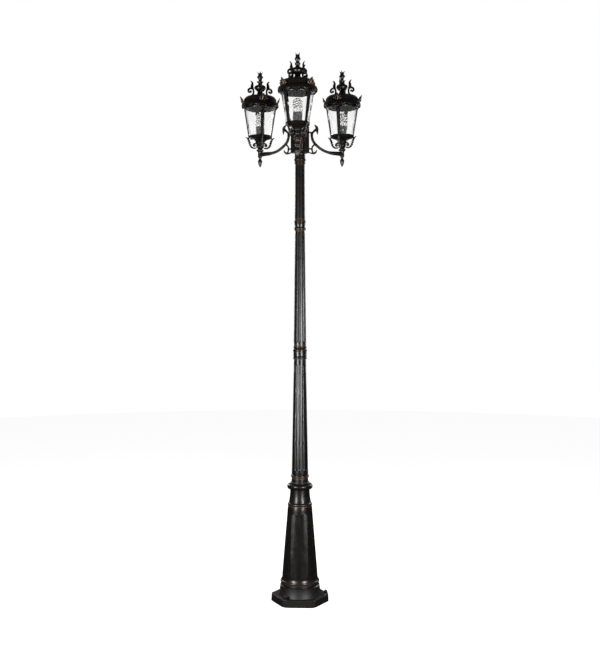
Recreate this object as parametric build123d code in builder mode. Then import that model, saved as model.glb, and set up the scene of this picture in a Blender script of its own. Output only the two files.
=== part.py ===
from build123d import *

import os
from math import atan2, cos, hypot, pi, radians, sin

os.makedirs("parts", exist_ok=True)

# Triple head lamp post, in millimetres, +Z up.
# The origin is on the post's axis, on the face that stands on the ground.
# One lantern stands in front, towards -Y, and two stand behind, left and right.

# ---- fits and gaps ----
socket_clearance = 0.1  # radial, a joining tube in its socket
running_clearance = 0.05  # radial, a piece that turns in its bore
seat_gap = 0.3  # between a piece that moves and what it rests on
hole_clearance = 0.15  # radial, a screw in its hole

# ---- base casting ----
plinth_apothem = 136.0
plinth_corner_cut = 14.0
plinth_height = 36.0
plinth_draft = 3.0
plinth_edge_round = 2.5
skirt_foot_radius = 114.0
skirt_top_radius = 103.0
skirt_height = 50.0
skirt_bead_radius = 102.5
skirt_bead_height = 13.0
cove_radius = 98.0
cone_foot_radius = 92.7
cone_top_radius = 65.5
cone_length = 331.0
cone_rise = 24.0  # from the skirt's bead to the foot of the cone
shoulder_radius = 64.0
shoulder_height = 50.0
neck_foot_radius = 57.0
neck_top_radius = 50.7
neck_height = 66.0
cone_flutes = 8
cone_flute_width = 54.0
cone_flute_depth = 4.5
cone_trough_width = 62.0  # of the round trough that a flute's outline is cut from
cone_flute_margin = 4.0  # plain cone beyond each end of a flute
base_wall = 6.0
skirt_extra_wall = 8.0
top_web = 22.0

# ---- anchor fixings ----
anchor_count = 3
anchor_circle = 270.0
anchor_hole_radius = 5.5
anchor_thread_radius = 5.0
washer_radius = 10.0
washer_thickness = 2.0
nut_across_flats = 17.0
nut_height = 18.0
nut_hex_height = 9.0

# ---- earth terminal inside the base ----
earth_boss_radius = 8.0
earth_boss_length = 16.0
earth_boss_sink = 2.5
earth_height = 95.0
earth_screw_radius = 3.0
earth_screw_length = 12.0
earth_head_across_flats = 10.0
earth_head_height = 4.0

# ---- shafts, couplings and the collar ----
collar_radius = 66.7
collar_height = 39.0
collar_ring_radius = 47.0
lower_shaft_foot_radius = 43.7
lower_shaft_bead_radius = 48.0
lower_shaft_bottom_radius = 42.8
lower_shaft_top_radius = 32.3
lower_shaft_length = 641.0
lower_shaft_foot_height = 50.0
middle_shaft_bottom_radius = 33.1
middle_shaft_top_radius = 25.75
middle_shaft_length = 600.0
upper_shaft_bottom_radius = 27.7
upper_shaft_top_radius = 25.1
upper_shaft_length = 292.0
lower_coupling_height = 74.0
lower_coupling_radius = 36.9
upper_coupling_height = 56.0
upper_coupling_radius = 31.5
shaft_flutes = 12
lower_flute_depth = 2.8
middle_flute_depth = 2.2
flute_share = 0.76  # of the pitch, the rest is the land between two flutes
flute_margin = 27.0  # plain stretch at a shaft's end
middle_shaft_turn = 6.0  # degrees, as it was screwed home
joint_wall = 4.0
joint_reach = 45.0  # of a joining tube into each shaft
base_tube_radius = 35.0
lower_tube_radius = 26.0
upper_tube_radius = 19.5

# ---- head collar and junction box ----
head_collar_height = 59.0
head_bead_radius = 32.0
head_lower_bead_radius = 29.0
head_neck_radius = 27.6
head_flange_radius = 35.0
wire_hole_radius = 13.0
grub_radius = 2.5
grub_drop = 12.0  # below the top of the upper shaft
grub_count = 3
box_apothem = 42.3
box_height = 133.0
box_wall = 4.0
box_floor = 5.0
lid_thickness = 4.0
lid_boss_radius = 5.0
lid_screw_radius = 2.0
lid_screw_circle = 62.0
lid_screw_length = 16.0
lid_screw_head_radius = 3.8
lid_screw_head_height = 2.4
terminal_size = (12.0, 34.0, 16.0)
terminal_offset = 25.0

# ---- arms ----
lantern_circle_radius = 255.0
arm_bar_radius = 6.75
arm_bend_radius = 127.0
arm_top_reach = 70.0
arm_plate_width = 32.0
arm_plate_height = 116.0
arm_plate_thickness = 4.0
arm_plate_lift = 7.0
arm_flare_radius = 9.5
arm_flare_length = 22.0
arm_drop = 13.0  # of the arm's level stretch above the junction box's floor
arm_bolt_radius = 3.0
arm_bolt_head_radius = 4.8
arm_bolt_head_height = 2.8
arm_bolt_spacing = 36.0
arm_bolt_tail = 3.0
ornament_thickness = 7.0
lower_curl_radius = 6.0
hub_radius = 12.5
hub_height = 30.0
nipple_radius = 5.0
nipple_bore = 3.4

# ---- lantern ----
acorn_radius = 11.5
acorn_height = 54.0
acorn_thread_depth = 16.0
gallery_radius = 60.5
gallery_rim_height = 13.0
gallery_height = 85.0
gallery_bead_radius = 19.5
gallery_column_radius = 21.0
glass_recess = 8.0
glass_bottom_radius = 57.2
glass_top_radius = 82.5
glass_height = 157.0
glass_thickness = 3.0
glass_side_gap = 0.5
rib_count = 4
rib_thickness = 3.0
rib_foot_width = 15.0
rib_top_width = 21.0
cage_ring_height = 12.0
cage_rise = 6.0  # of the cage ring above the glass
holder_base_radius = 28.6
holder_radius = 23.0
holder_height = 56.0
holder_base_height = 10.0
bulb_cap_radius = 13.0
bulb_cap_length = 25.0
ballast_radius = 25.0
ballast_height = 22.0
burner_radius = 27.0
burner_height = 47.0

# ---- roof ----
rim_radius = 99.5
rim_height = 18.0
fringe_drop = 9.0
fringe_thickness = 3.4
fringe_tuck = 4.0  # how far its lower edge stands inside its upper one
fringe_lobes = 12
fringe_notch_radius = 24.0
ledge_inner_radius = 81.0
ledge_thickness = 4.0
rim_shelf_radius = 90.0
drum_radius = 88.0
drum_height = 24.0
dome_rise = 14.0
dome_shelf_radius = 56.0
dome_shelf_inner = 42.0
roof_wall = 4.0
roof_neck_radius = 14.0
roof_neck_rise = 27.0
urn_radius = 31.0
urn_height = 36.0
urn_mouth_radius = 12.0
leaf_height = 35.0
leaf_half_width = 19.0
leaf_thickness = 3.0
leaf_lean = 21.0
crown_bar = 6.5
crown_thickness = 6.0
crown_drop = 22.0  # from the foot of the urn down to the level that the scrolls start from

# ---- top finial ----
finial_pin_radius = 4.0
finial_pin_length = 11.0
finial_height = 62.0
finial_ring_radius = 16.7
finial_ball_radius = 15.6
finial_tip_radius = 2.4
finial_tip_spread = 13.0
finial_tip_rise = 9.0

# ---- levels, each stacked on the one below ----
skirt_top = plinth_height + skirt_height
skirt_bead_low = skirt_top + 14.0
skirt_bead_high = skirt_bead_low + skirt_bead_height
cone_foot = skirt_bead_high + cone_rise
cone_top = cone_foot + cone_length
shoulder_top = cone_top + shoulder_height
base_top = shoulder_top + neck_height
collar_top = base_top + collar_height
lower_shaft_top = collar_top + lower_shaft_length
lower_coupling_top = lower_shaft_top + lower_coupling_height
middle_shaft_top = lower_coupling_top + middle_shaft_length
upper_coupling_top = middle_shaft_top + upper_coupling_height
upper_shaft_top = upper_coupling_top + upper_shaft_length
box_bottom = upper_shaft_top + head_collar_height
box_top = box_bottom + box_height
arm_level = box_bottom + arm_drop
hub_bottom = arm_level - hub_height / 2
hub_top = arm_level + hub_height / 2
gallery_top = hub_top + gallery_height
glass_seat = gallery_top - glass_recess
glass_top = glass_seat + glass_height
cage_top = glass_top + cage_rise
roof_seat = cage_top + seat_gap
rim_top = roof_seat + rim_height
drum_top = rim_top + drum_height
dome_shelf = drum_top + dome_rise
urn_bottom = dome_shelf + roof_neck_rise
crown_level = urn_bottom - crown_drop
urn_top = urn_bottom + urn_height
finial_bottom = urn_top + seat_gap

lantern_names = {"front": -90.0, "right": 30.0, "left": 150.0}
corner_angle = 45.0  # from the arm to the first rib of its lantern


def bead(inner_radius, outer_radius, low, high):
    # a rounded ring on a turned outline: the arc's middle and its end
    return ((outer_radius, (low + high) / 2), (inner_radius, high))


def turned(*steps):
    # closes an outline of radius and height: a pair is a point, a pair of pairs is an arc
    last = steps[0]
    for step in steps[1:]:
        if isinstance(step[0], tuple):
            ThreePointArc(last, step[0], step[1])
            last = step[1]
        else:
            Line(last, step)
            last = step
    Line(last, steps[0])


def flute_cutter(low, high, width_low, width_high, depth):
    # a long round-ended tool for one flute, along the line from low to high
    run = hypot(high[0] - low[0], high[1] - low[1])
    radius_low = (width_low**2 / 4 + depth**2) / (2 * depth)
    radius_high = (width_high**2 / 4 + depth**2) / (2 * depth)
    start = Vector(low[0] + radius_low - depth, 0, low[1])
    end = Vector(high[0] + radius_high - depth, 0, high[1])
    along = end - start
    side = Plane(origin=start, x_dir=along, z_dir=(0, 1, 0))
    with BuildPart() as cutter:
        with BuildSketch(side):
            with BuildLine():
                Line((-radius_low, 0), (run + radius_high, 0))
                ThreePointArc(
                    (-radius_low, 0),
                    (-radius_low * cos(pi / 4), radius_low * sin(pi / 4)),
                    (0, radius_low),
                )
                Line((0, radius_low), (run, radius_high))
                ThreePointArc(
                    (run, radius_high),
                    (run + radius_high * cos(pi / 4), radius_high * sin(pi / 4)),
                    (run + radius_high, 0),
                )
            make_face()
        revolve(axis=Axis(start, along))
    return cutter.part


def slot_cutter(low, high, width_low, width_high, trough_width, depth):
    # one crisp flute: its outline has round ends, its floor is a shallow trough that runs past them
    along = Vector(high[0] - low[0], 0, high[1] - low[1])
    past = along.normalized() * width_low
    trough = flute_cutter(
        (low[0] - past.X, low[1] - past.Z),
        (high[0] + past.X, high[1] + past.Z),
        trough_width,
        trough_width * width_high / width_low,
        depth,
    )
    face = Plane(origin=(low[0], 0, low[1]), x_dir=along, z_dir=(along.Z, 0, -along.X))
    half_low = width_low / 2
    half_high = width_high / 2
    with BuildPart() as cutter:
        with BuildSketch(face):
            with BuildLine():
                turned(
                    (0, half_low),
                    ((-half_low, 0), (0, -half_low)),
                    (along.length, -half_high),
                    ((along.length + half_high, 0), (along.length, half_high)),
                )
            make_face()
        extrude(amount=2 * depth, both=True)
        add(trough, mode=Mode.INTERSECT)
    return cutter.part


def finish(piece, name):
    piece.part.label = name
    export_step(piece.part, f"parts/{name}.step")


def placed(master, name, *seats):
    # copies of a master solid, one at each seat, in one node
    with BuildPart() as copies:
        with Locations(*seats):
            add(master.part)
    finish(copies, name)


# ---- base casting ----
cone_flute_top_width = cone_flute_width * cone_top_radius / cone_foot_radius
base_cutter = slot_cutter(
    (cone_foot_radius, cone_foot + cone_flute_width / 2 + cone_flute_margin),
    (cone_top_radius, cone_top - cone_flute_top_width / 2 - cone_flute_margin),
    cone_flute_width,
    cone_flute_top_width,
    cone_trough_width,
    cone_flute_depth,
)
base_socket_radius = base_tube_radius + socket_clearance
base_hollow_radius = skirt_foot_radius - base_wall - skirt_extra_wall
cone_hollow_radius = cone_foot_radius - base_wall
earth_share = (earth_height - plinth_height) / (cone_foot - plinth_height)
earth_wall_radius = base_hollow_radius + earth_share * (cone_hollow_radius - base_hollow_radius)
earth_face = earth_wall_radius - earth_boss_length

with BuildPart() as base_casting:
    with BuildSketch():
        RegularPolygon(plinth_apothem, 6, major_radius=False)
        chamfer(vertices(), plinth_corner_cut)
    extrude(amount=plinth_height, taper=plinth_draft)
    fillet(edges().group_by(Axis.Z)[-1], plinth_edge_round)
    with BuildSketch(Plane.XZ):
        with BuildLine():
            turned(
                (0, plinth_height / 2),
                (skirt_foot_radius, plinth_height / 2),
                (skirt_foot_radius, plinth_height),
                (
                    (skirt_foot_radius * 0.35 + skirt_top_radius * 0.65, plinth_height + skirt_height * 0.45),
                    (skirt_top_radius, skirt_top),
                ),
                (cove_radius + 2.0, skirt_top + 2.5),
                (cove_radius, skirt_bead_low),
                bead(cove_radius, skirt_bead_radius, skirt_bead_low, skirt_bead_high),
                (
                    (cone_foot_radius + 1.0, skirt_bead_high + cone_rise * 0.45),
                    (cone_foot_radius, cone_foot),
                ),
                (cone_top_radius, cone_top),
                (
                    (shoulder_radius + 0.4, cone_top + shoulder_height * 0.3),
                    (shoulder_radius - 2.0, cone_top + shoulder_height * 0.6),
                ),
                bead(shoulder_radius - 2.0, shoulder_radius + 0.5, cone_top + shoulder_height * 0.6, shoulder_top - 6.0),
                (
                    (neck_foot_radius + 1.0, shoulder_top - 1.0),
                    (neck_foot_radius, shoulder_top + 4.0),
                ),
                (
                    (
                        neck_foot_radius * 0.35 + neck_top_radius * 0.65,
                        shoulder_top + neck_height * 0.45,
                    ),
                    (neck_top_radius, base_top),
                ),
                (0, base_top),
            )
        make_face()
    revolve(axis=Axis.Z)
    with PolarLocations(0, cone_flutes, start_angle=180.0 / cone_flutes):
        add(base_cutter, mode=Mode.SUBTRACT)
    with BuildSketch(Plane.XZ):
        with BuildLine():
            turned(
                (0, -1.0),
                (base_hollow_radius, -1.0),
                (base_hollow_radius, plinth_height),
                (cone_hollow_radius, cone_foot),
                (cone_top_radius - base_wall, cone_top),
                (neck_top_radius - base_wall, base_top - top_web - 20.0),
                (neck_top_radius - base_wall, base_top - top_web),
                (0, base_top - top_web),
            )
        make_face()
    revolve(axis=Axis.Z, mode=Mode.SUBTRACT)
    with BuildSketch():
        Circle(base_socket_radius)
        with PolarLocations(anchor_circle / 2, anchor_count):
            Circle(anchor_hole_radius)
    extrude(amount=base_top, mode=Mode.SUBTRACT)
    # the earth boss stands on the inside of the back wall
    with BuildSketch(Plane.XZ.offset(-earth_face)):
        with Locations((0, earth_height)):
            Circle(earth_boss_radius)
    extrude(amount=-(earth_boss_length + earth_boss_sink))
    with BuildSketch(Plane.XZ.offset(-earth_face)):
        with Locations((0, earth_height)):
            Circle(earth_screw_radius + hole_clearance)
    extrude(amount=-earth_screw_length - 1.0, mode=Mode.SUBTRACT)
finish(base_casting, "base_casting")

# ---- anchor fixings ----
with BuildPart() as anchor_washer:
    with BuildSketch(Plane.XY.offset(plinth_height)):
        Circle(washer_radius)
        Circle(anchor_hole_radius, mode=Mode.SUBTRACT)
    extrude(amount=washer_thickness)

nut_seat = plinth_height + washer_thickness
nut_dome_foot = nut_seat + nut_hex_height
nut_top = nut_seat + nut_height
nut_dome_radius = nut_across_flats / 2 - 0.5

with BuildPart() as anchor_nut:
    with BuildSketch(Plane.XY.offset(nut_seat)):
        RegularPolygon(nut_across_flats / 2, 6, major_radius=False)
    extrude(amount=nut_hex_height)
    with BuildSketch(Plane.XZ):
        with BuildLine():
            turned(
                (0, nut_dome_foot),
                (nut_dome_radius, nut_dome_foot),
                (nut_dome_radius, nut_dome_foot + 2.0),
                (
                    (nut_dome_radius * 0.86, nut_top - nut_dome_radius * 0.3),
                    (nut_dome_radius * 0.4, nut_top),
                ),
                (0, nut_top),
            )
        make_face()
    revolve(axis=Axis.Z)
    with BuildSketch(Plane.XY.offset(nut_seat)):
        Circle(anchor_thread_radius)
    extrude(amount=nut_height * 0.65, mode=Mode.SUBTRACT)

with BuildPart() as anchor_washers:
    with PolarLocations(anchor_circle / 2, anchor_count):
        add(anchor_washer.part)
finish(anchor_washers, "anchor_washers")

with BuildPart() as anchor_nuts:
    with PolarLocations(anchor_circle / 2, anchor_count):
        add(anchor_nut.part)
finish(anchor_nuts, "anchor_nuts")

# ---- earth terminal ----
with BuildPart() as earth_terminal:
    with BuildSketch(Plane.XZ.offset(-earth_face)):
        with Locations((0, earth_height)):
            RegularPolygon(earth_head_across_flats / 2, 6, major_radius=False)
    extrude(amount=earth_head_height)
    with BuildSketch(Plane.XZ.offset(-earth_face)):
        with Locations((0, earth_height)):
            Circle(earth_screw_radius)
    extrude(amount=-earth_screw_length)
finish(earth_terminal, "earth_terminal")

# ---- collar on the base ----
with BuildPart() as base_collar:
    with BuildSketch(Plane.XZ):
        with BuildLine():
            turned(
                (base_socket_radius, base_top),
                (neck_top_radius + 3.0, base_top),
                (
                    (collar_radius - 4.0, base_top + collar_height * 0.1),
                    (collar_radius, base_top + collar_height * 0.36),
                ),
                (
                    (collar_radius - 2.0, base_top + collar_height * 0.6),
                    (collar_radius - 12.0, base_top + collar_height * 0.72),
                ),
                (collar_ring_radius, base_top + collar_height * 0.76),
                bead(
                    collar_ring_radius,
                    collar_ring_radius + 3.0,
                    base_top + collar_height * 0.76,
                    collar_top - 1.5,
                ),
                (collar_ring_radius, collar_top),
                (base_socket_radius, collar_top),
            )
        make_face()
    revolve(axis=Axis.Z)
finish(base_collar, "base_collar")


def joint_tube(radius, low, high, name):
    # a plain tube that joins two lengths of the post
    with BuildPart() as tube:
        with BuildSketch(Plane.XY.offset(low)):
            Circle(radius)
            Circle(radius - joint_wall, mode=Mode.SUBTRACT)
        extrude(amount=high - low)
    finish(tube, name)


def bore_steps(bottom, bottom_radius, top, top_radius):
    # the inside of a shaft: a socket for a joining tube at each end and a taper between
    return (
        (0, bottom),
        (bottom_radius, bottom),
        (bottom_radius, bottom + joint_reach + 5.0),
        (top_radius, top - joint_reach - 5.0),
        (top_radius, top),
        (0, top),
    )


def shaft_flute_cutter(low, high, depth):
    pitch = 2 * pi / shaft_flutes
    width_low = low[0] * pitch * flute_share
    width_high = high[0] * pitch * flute_share
    return flute_cutter(
        (low[0], low[1] + width_low / 2),
        (high[0], high[1] - width_high / 2),
        width_low,
        width_high,
        depth,
    )


# ---- lower shaft ----
lower_flute_low = collar_top + lower_shaft_foot_height + 9.0
lower_cutter = shaft_flute_cutter(
    (lower_shaft_bottom_radius, lower_flute_low),
    (lower_shaft_top_radius, lower_shaft_top - flute_margin),
    lower_flute_depth,
)
with BuildPart() as lower_shaft:
    with BuildSketch(Plane.XZ):
        with BuildLine():
            turned(
                (0, collar_top),
                (lower_shaft_foot_radius, collar_top),
                (lower_shaft_foot_radius - 1.0, collar_top + lower_shaft_foot_height * 0.46),
                bead(
                    lower_shaft_foot_radius - 1.0,
                    lower_shaft_bead_radius,
                    collar_top + lower_shaft_foot_height * 0.46,
                    collar_top + lower_shaft_foot_height * 0.72,
                ),
                (lower_shaft_bottom_radius, collar_top + lower_shaft_foot_height),
                (lower_shaft_top_radius, lower_shaft_top),
                (0, lower_shaft_top),
            )
        make_face()
    revolve(axis=Axis.Z)
    with PolarLocations(0, shaft_flutes, start_angle=-90.0):
        add(lower_cutter, mode=Mode.SUBTRACT)
    with BuildSketch(Plane.XZ):
        with BuildLine():
            turned(
                *bore_steps(
                    collar_top,
                    base_socket_radius,
                    lower_shaft_top,
                    lower_tube_radius + socket_clearance,
                )
            )
        make_face()
    revolve(axis=Axis.Z, mode=Mode.SUBTRACT)
finish(lower_shaft, "lower_shaft")
joint_tube(base_tube_radius, base_top - top_web, collar_top + joint_reach, "base_joint_tube")

# ---- lower coupling ----
with BuildPart() as lower_coupling:
    with BuildSketch(Plane.XZ):
        with BuildLine():
            turned(
                (lower_tube_radius + socket_clearance, lower_shaft_top),
                (lower_shaft_top_radius + 1.5, lower_shaft_top),
                bead(
                    lower_shaft_top_radius + 1.5,
                    lower_coupling_radius,
                    lower_shaft_top,
                    lower_shaft_top + lower_coupling_height * 0.18,
                ),
                (lower_coupling_radius - 1.4, lower_shaft_top + lower_coupling_height * 0.22),
                (lower_coupling_radius - 1.4, lower_shaft_top + lower_coupling_height * 0.56),
                bead(
                    lower_coupling_radius - 1.4,
                    lower_coupling_radius + 0.6,
                    lower_shaft_top + lower_coupling_height * 0.56,
                    lower_shaft_top + lower_coupling_height * 0.7,
                ),
                (middle_shaft_bottom_radius, lower_shaft_top + lower_coupling_height * 0.76),
                bead(
                    middle_shaft_bottom_radius,
                    middle_shaft_bottom_radius + 1.8,
                    lower_shaft_top + lower_coupling_height * 0.8,
                    lower_coupling_top - 4.0,
                ),
                (middle_shaft_bottom_radius, lower_coupling_top),
                (lower_tube_radius + socket_clearance, lower_coupling_top),
            )
        make_face()
    revolve(axis=Axis.Z)
finish(lower_coupling, "lower_coupling")
joint_tube(
    lower_tube_radius,
    lower_shaft_top - joint_reach,
    lower_coupling_top + joint_reach,
    "lower_joint_tube",
)

# ---- middle shaft ----
middle_cutter = shaft_flute_cutter(
    (middle_shaft_bottom_radius, lower_coupling_top + flute_margin / 2),
    (middle_shaft_top_radius, middle_shaft_top - flute_margin / 2),
    middle_flute_depth,
)
with BuildPart() as middle_shaft:
    with BuildSketch(Plane.XZ):
        with BuildLine():
            turned(
                (0, lower_coupling_top),
                (middle_shaft_bottom_radius, lower_coupling_top),
                (middle_shaft_top_radius, middle_shaft_top),
                (0, middle_shaft_top),
            )
        make_face()
    revolve(axis=Axis.Z)
    with PolarLocations(0, shaft_flutes, start_angle=-90.0 + middle_shaft_turn):
        add(middle_cutter, mode=Mode.SUBTRACT)
    with BuildSketch(Plane.XZ):
        with BuildLine():
            turned(
                *bore_steps(
                    lower_coupling_top,
                    lower_tube_radius + socket_clearance,
                    middle_shaft_top,
                    upper_tube_radius + socket_clearance,
                )
            )
        make_face()
    revolve(axis=Axis.Z, mode=Mode.SUBTRACT)
finish(middle_shaft, "middle_shaft")

# ---- upper coupling ----
with BuildPart() as upper_coupling:
    with BuildSketch(Plane.XZ):
        with BuildLine():
            turned(
                (upper_tube_radius + socket_clearance, middle_shaft_top),
                (middle_shaft_top_radius + 1.0, middle_shaft_top),
                bead(
                    middle_shaft_top_radius + 1.0,
                    upper_coupling_radius,
                    middle_shaft_top,
                    middle_shaft_top + upper_coupling_height * 0.3,
                ),
                (
                    (upper_coupling_radius - 2.6, middle_shaft_top + upper_coupling_height * 0.5),
                    (upper_coupling_radius - 2.2, middle_shaft_top + upper_coupling_height * 0.7),
                ),
                bead(
                    upper_coupling_radius - 2.2,
                    upper_coupling_radius - 0.5,
                    middle_shaft_top + upper_coupling_height * 0.7,
                    middle_shaft_top + upper_coupling_height * 0.9,
                ),
                (upper_shaft_bottom_radius, upper_coupling_top),
                (upper_tube_radius + socket_clearance, upper_coupling_top),
            )
        make_face()
    revolve(axis=Axis.Z)
finish(upper_coupling, "upper_coupling")
joint_tube(
    upper_tube_radius,
    middle_shaft_top - joint_reach,
    upper_coupling_top + joint_reach,
    "upper_joint_tube",
)

# ---- upper shaft ----
grub_level = upper_shaft_top - grub_drop
with BuildPart() as upper_shaft:
    with BuildSketch(Plane.XZ):
        with BuildLine():
            turned(
                (0, upper_coupling_top),
                (upper_shaft_bottom_radius, upper_coupling_top),
                (upper_shaft_top_radius, upper_shaft_top),
                (0, upper_shaft_top),
            )
        make_face()
    revolve(axis=Axis.Z)
    with BuildSketch():
        Circle(upper_tube_radius + socket_clearance)
    extrude(amount=upper_shaft_top, mode=Mode.SUBTRACT)
    with BuildSketch(Plane.XZ):
        with Locations((0, grub_level)):
            Circle(grub_radius + hole_clearance)
    grub_hole = extrude(amount=upper_shaft_bottom_radius + 5.0, mode=Mode.PRIVATE)
    with PolarLocations(0, grub_count, start_angle=-8.0):
        add(grub_hole, mode=Mode.SUBTRACT)
finish(upper_shaft, "upper_shaft")

with BuildPart() as grub_screw:
    with BuildSketch(Plane.XZ.offset(upper_tube_radius + socket_clearance)):
        with Locations((0, grub_level)):
            Circle(grub_radius)
    extrude(amount=upper_shaft_top_radius - upper_tube_radius - socket_clearance)
    with BuildSketch(Plane.XZ.offset(upper_shaft_top_radius)):
        with Locations((0, grub_level)):
            RegularPolygon(grub_radius * 0.5, 6)
    extrude(amount=-1.5, mode=Mode.SUBTRACT)
with BuildPart() as grub_screws:
    with PolarLocations(0, grub_count, start_angle=-8.0):
        add(grub_screw.part)
finish(grub_screws, "grub_screws")

# ---- head collar, with a spigot down into the upper shaft ----
with BuildPart() as head_collar:
    with BuildSketch(Plane.XZ):
        with BuildLine():
            turned(
                (wire_hole_radius, upper_shaft_top - joint_reach),
                (upper_tube_radius, upper_shaft_top - joint_reach),
                (upper_tube_radius, upper_shaft_top),
                (upper_shaft_top_radius + 0.8, upper_shaft_top),
                bead(
                    upper_shaft_top_radius + 0.8,
                    head_lower_bead_radius,
                    upper_shaft_top + 2.0,
                    upper_shaft_top + 11.0,
                ),
                (head_neck_radius, upper_shaft_top + 12.0),
                (head_neck_radius, upper_shaft_top + 17.0),
                bead(
                    head_neck_radius,
                    head_bead_radius,
                    upper_shaft_top + 17.0,
                    upper_shaft_top + 27.0,
                ),
                (head_neck_radius, upper_shaft_top + head_collar_height * 0.8),
                (
                    (head_neck_radius + 2.4, upper_shaft_top + head_collar_height * 0.93),
                    (head_flange_radius, box_bottom),
                ),
                (wire_hole_radius, box_bottom),
            )
        make_face()
    revolve(axis=Axis.Z)
finish(head_collar, "head_collar")

# ---- junction box ----
bolt_levels = [
    box_bottom + arm_plate_lift + arm_plate_height / 2 + side * arm_bolt_spacing / 2
    for side in (-1, 1)
]
with BuildPart() as junction_box:
    with BuildSketch(Plane.XY.offset(box_bottom)):
        RegularPolygon(box_apothem, 6, major_radius=False)
    extrude(amount=box_height)
    with BuildSketch(Plane.XY.offset(box_bottom + box_floor)):
        RegularPolygon(box_apothem - box_wall, 6, major_radius=False)
    extrude(amount=box_height, mode=Mode.SUBTRACT)
    with BuildSketch(Plane.XY.offset(box_bottom)):
        Circle(wire_hole_radius)
    extrude(amount=box_height, mode=Mode.SUBTRACT)
    # three long bosses take the screws of the lid
    with BuildSketch(Plane.XY.offset(box_bottom + box_floor)):
        with PolarLocations(lid_screw_circle / 2, 3, start_angle=0.0):
            Circle(lid_boss_radius)
    extrude(amount=box_height - box_floor)
    with BuildSketch(Plane.XY.offset(box_top)):
        with PolarLocations(lid_screw_circle / 2, 3, start_angle=0.0):
            Circle(lid_screw_radius + hole_clearance)
    extrude(amount=-(lid_screw_length + 1.0), mode=Mode.SUBTRACT)
    for arm_angle in lantern_names.values():
        face_plane = Plane(
            origin=(0, 0, 0),
            x_dir=(sin(radians(arm_angle)), -cos(radians(arm_angle)), 0),
            z_dir=(cos(radians(arm_angle)), sin(radians(arm_angle)), 0),
        )
        with BuildSketch(face_plane):
            with Locations(*[(0, -level) for level in bolt_levels]):
                Circle(arm_bolt_radius + hole_clearance)
        extrude(amount=box_apothem + 1.0, mode=Mode.SUBTRACT)
finish(junction_box, "junction_box")

with BuildPart() as junction_lid:
    with BuildSketch(Plane.XY.offset(box_top)):
        RegularPolygon(box_apothem, 6, major_radius=False)
        with PolarLocations(lid_screw_circle / 2, 3, start_angle=0.0):
            Circle(lid_screw_radius + hole_clearance, mode=Mode.SUBTRACT)
    extrude(amount=lid_thickness)
    fillet(edges().filter_by(Axis.Z, reverse=True).group_by(Axis.Z)[-1].filter_by(GeomType.LINE), 1.2)
finish(junction_lid, "junction_lid")

with BuildPart() as lid_screws:
    with BuildSketch(Plane.XY.offset(box_top + lid_thickness)):
        with PolarLocations(lid_screw_circle / 2, 3, start_angle=0.0):
            Circle(lid_screw_head_radius)
    extrude(amount=lid_screw_head_height)
    with BuildSketch(Plane.XY.offset(box_top + lid_thickness)):
        with PolarLocations(lid_screw_circle / 2, 3, start_angle=0.0):
            Circle(lid_screw_radius)
    extrude(amount=-lid_screw_length)
finish(lid_screws, "lid_screws")

with BuildPart() as terminal_block:
    with BuildSketch(Plane.XY.offset(box_bottom + box_floor)):
        with Locations((-terminal_offset, 0)):
            Rectangle(terminal_size[0], terminal_size[1])
    extrude(amount=terminal_size[2])
    with BuildSketch(Plane.XY.offset(box_bottom + box_floor + terminal_size[2])):
        with Locations((-terminal_offset, 0)):
            with GridLocations(1, terminal_size[1] / 3, 1, 3):
                Circle(terminal_size[0] / 5)
    extrude(amount=-terminal_size[2] / 3, mode=Mode.SUBTRACT)
finish(terminal_block, "terminal_block")

# ---- arm: back plate, twisted bar, leaf, scroll bracket and hub, drawn towards +X ----
plate_face = box_apothem + arm_plate_thickness
plate_bottom = box_bottom + arm_plate_lift
bend_centre = (arm_top_reach + arm_bend_radius, arm_level + arm_bend_radius)
arm_top_level = plate_bottom + arm_plate_height - 8.0


def on_bend(angle):
    # a point of the arm's bend, by its angle about the bend's centre
    return (
        bend_centre[0] + arm_bend_radius * cos(angle),
        bend_centre[1] + arm_bend_radius * sin(angle),
    )


bend_start = pi + atan2(bend_centre[1] - arm_top_level, arm_bend_radius)
bend_end = 1.5 * pi
scroll_joint = on_bend(pi + 0.72)
scroll_waist = (plate_face + 17.0, plate_bottom + 21.0)
scroll_foot = (plate_face + 31.0, plate_bottom - 3.0)
scroll_tip = (plate_face + 52.0, plate_bottom + 13.0)

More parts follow.
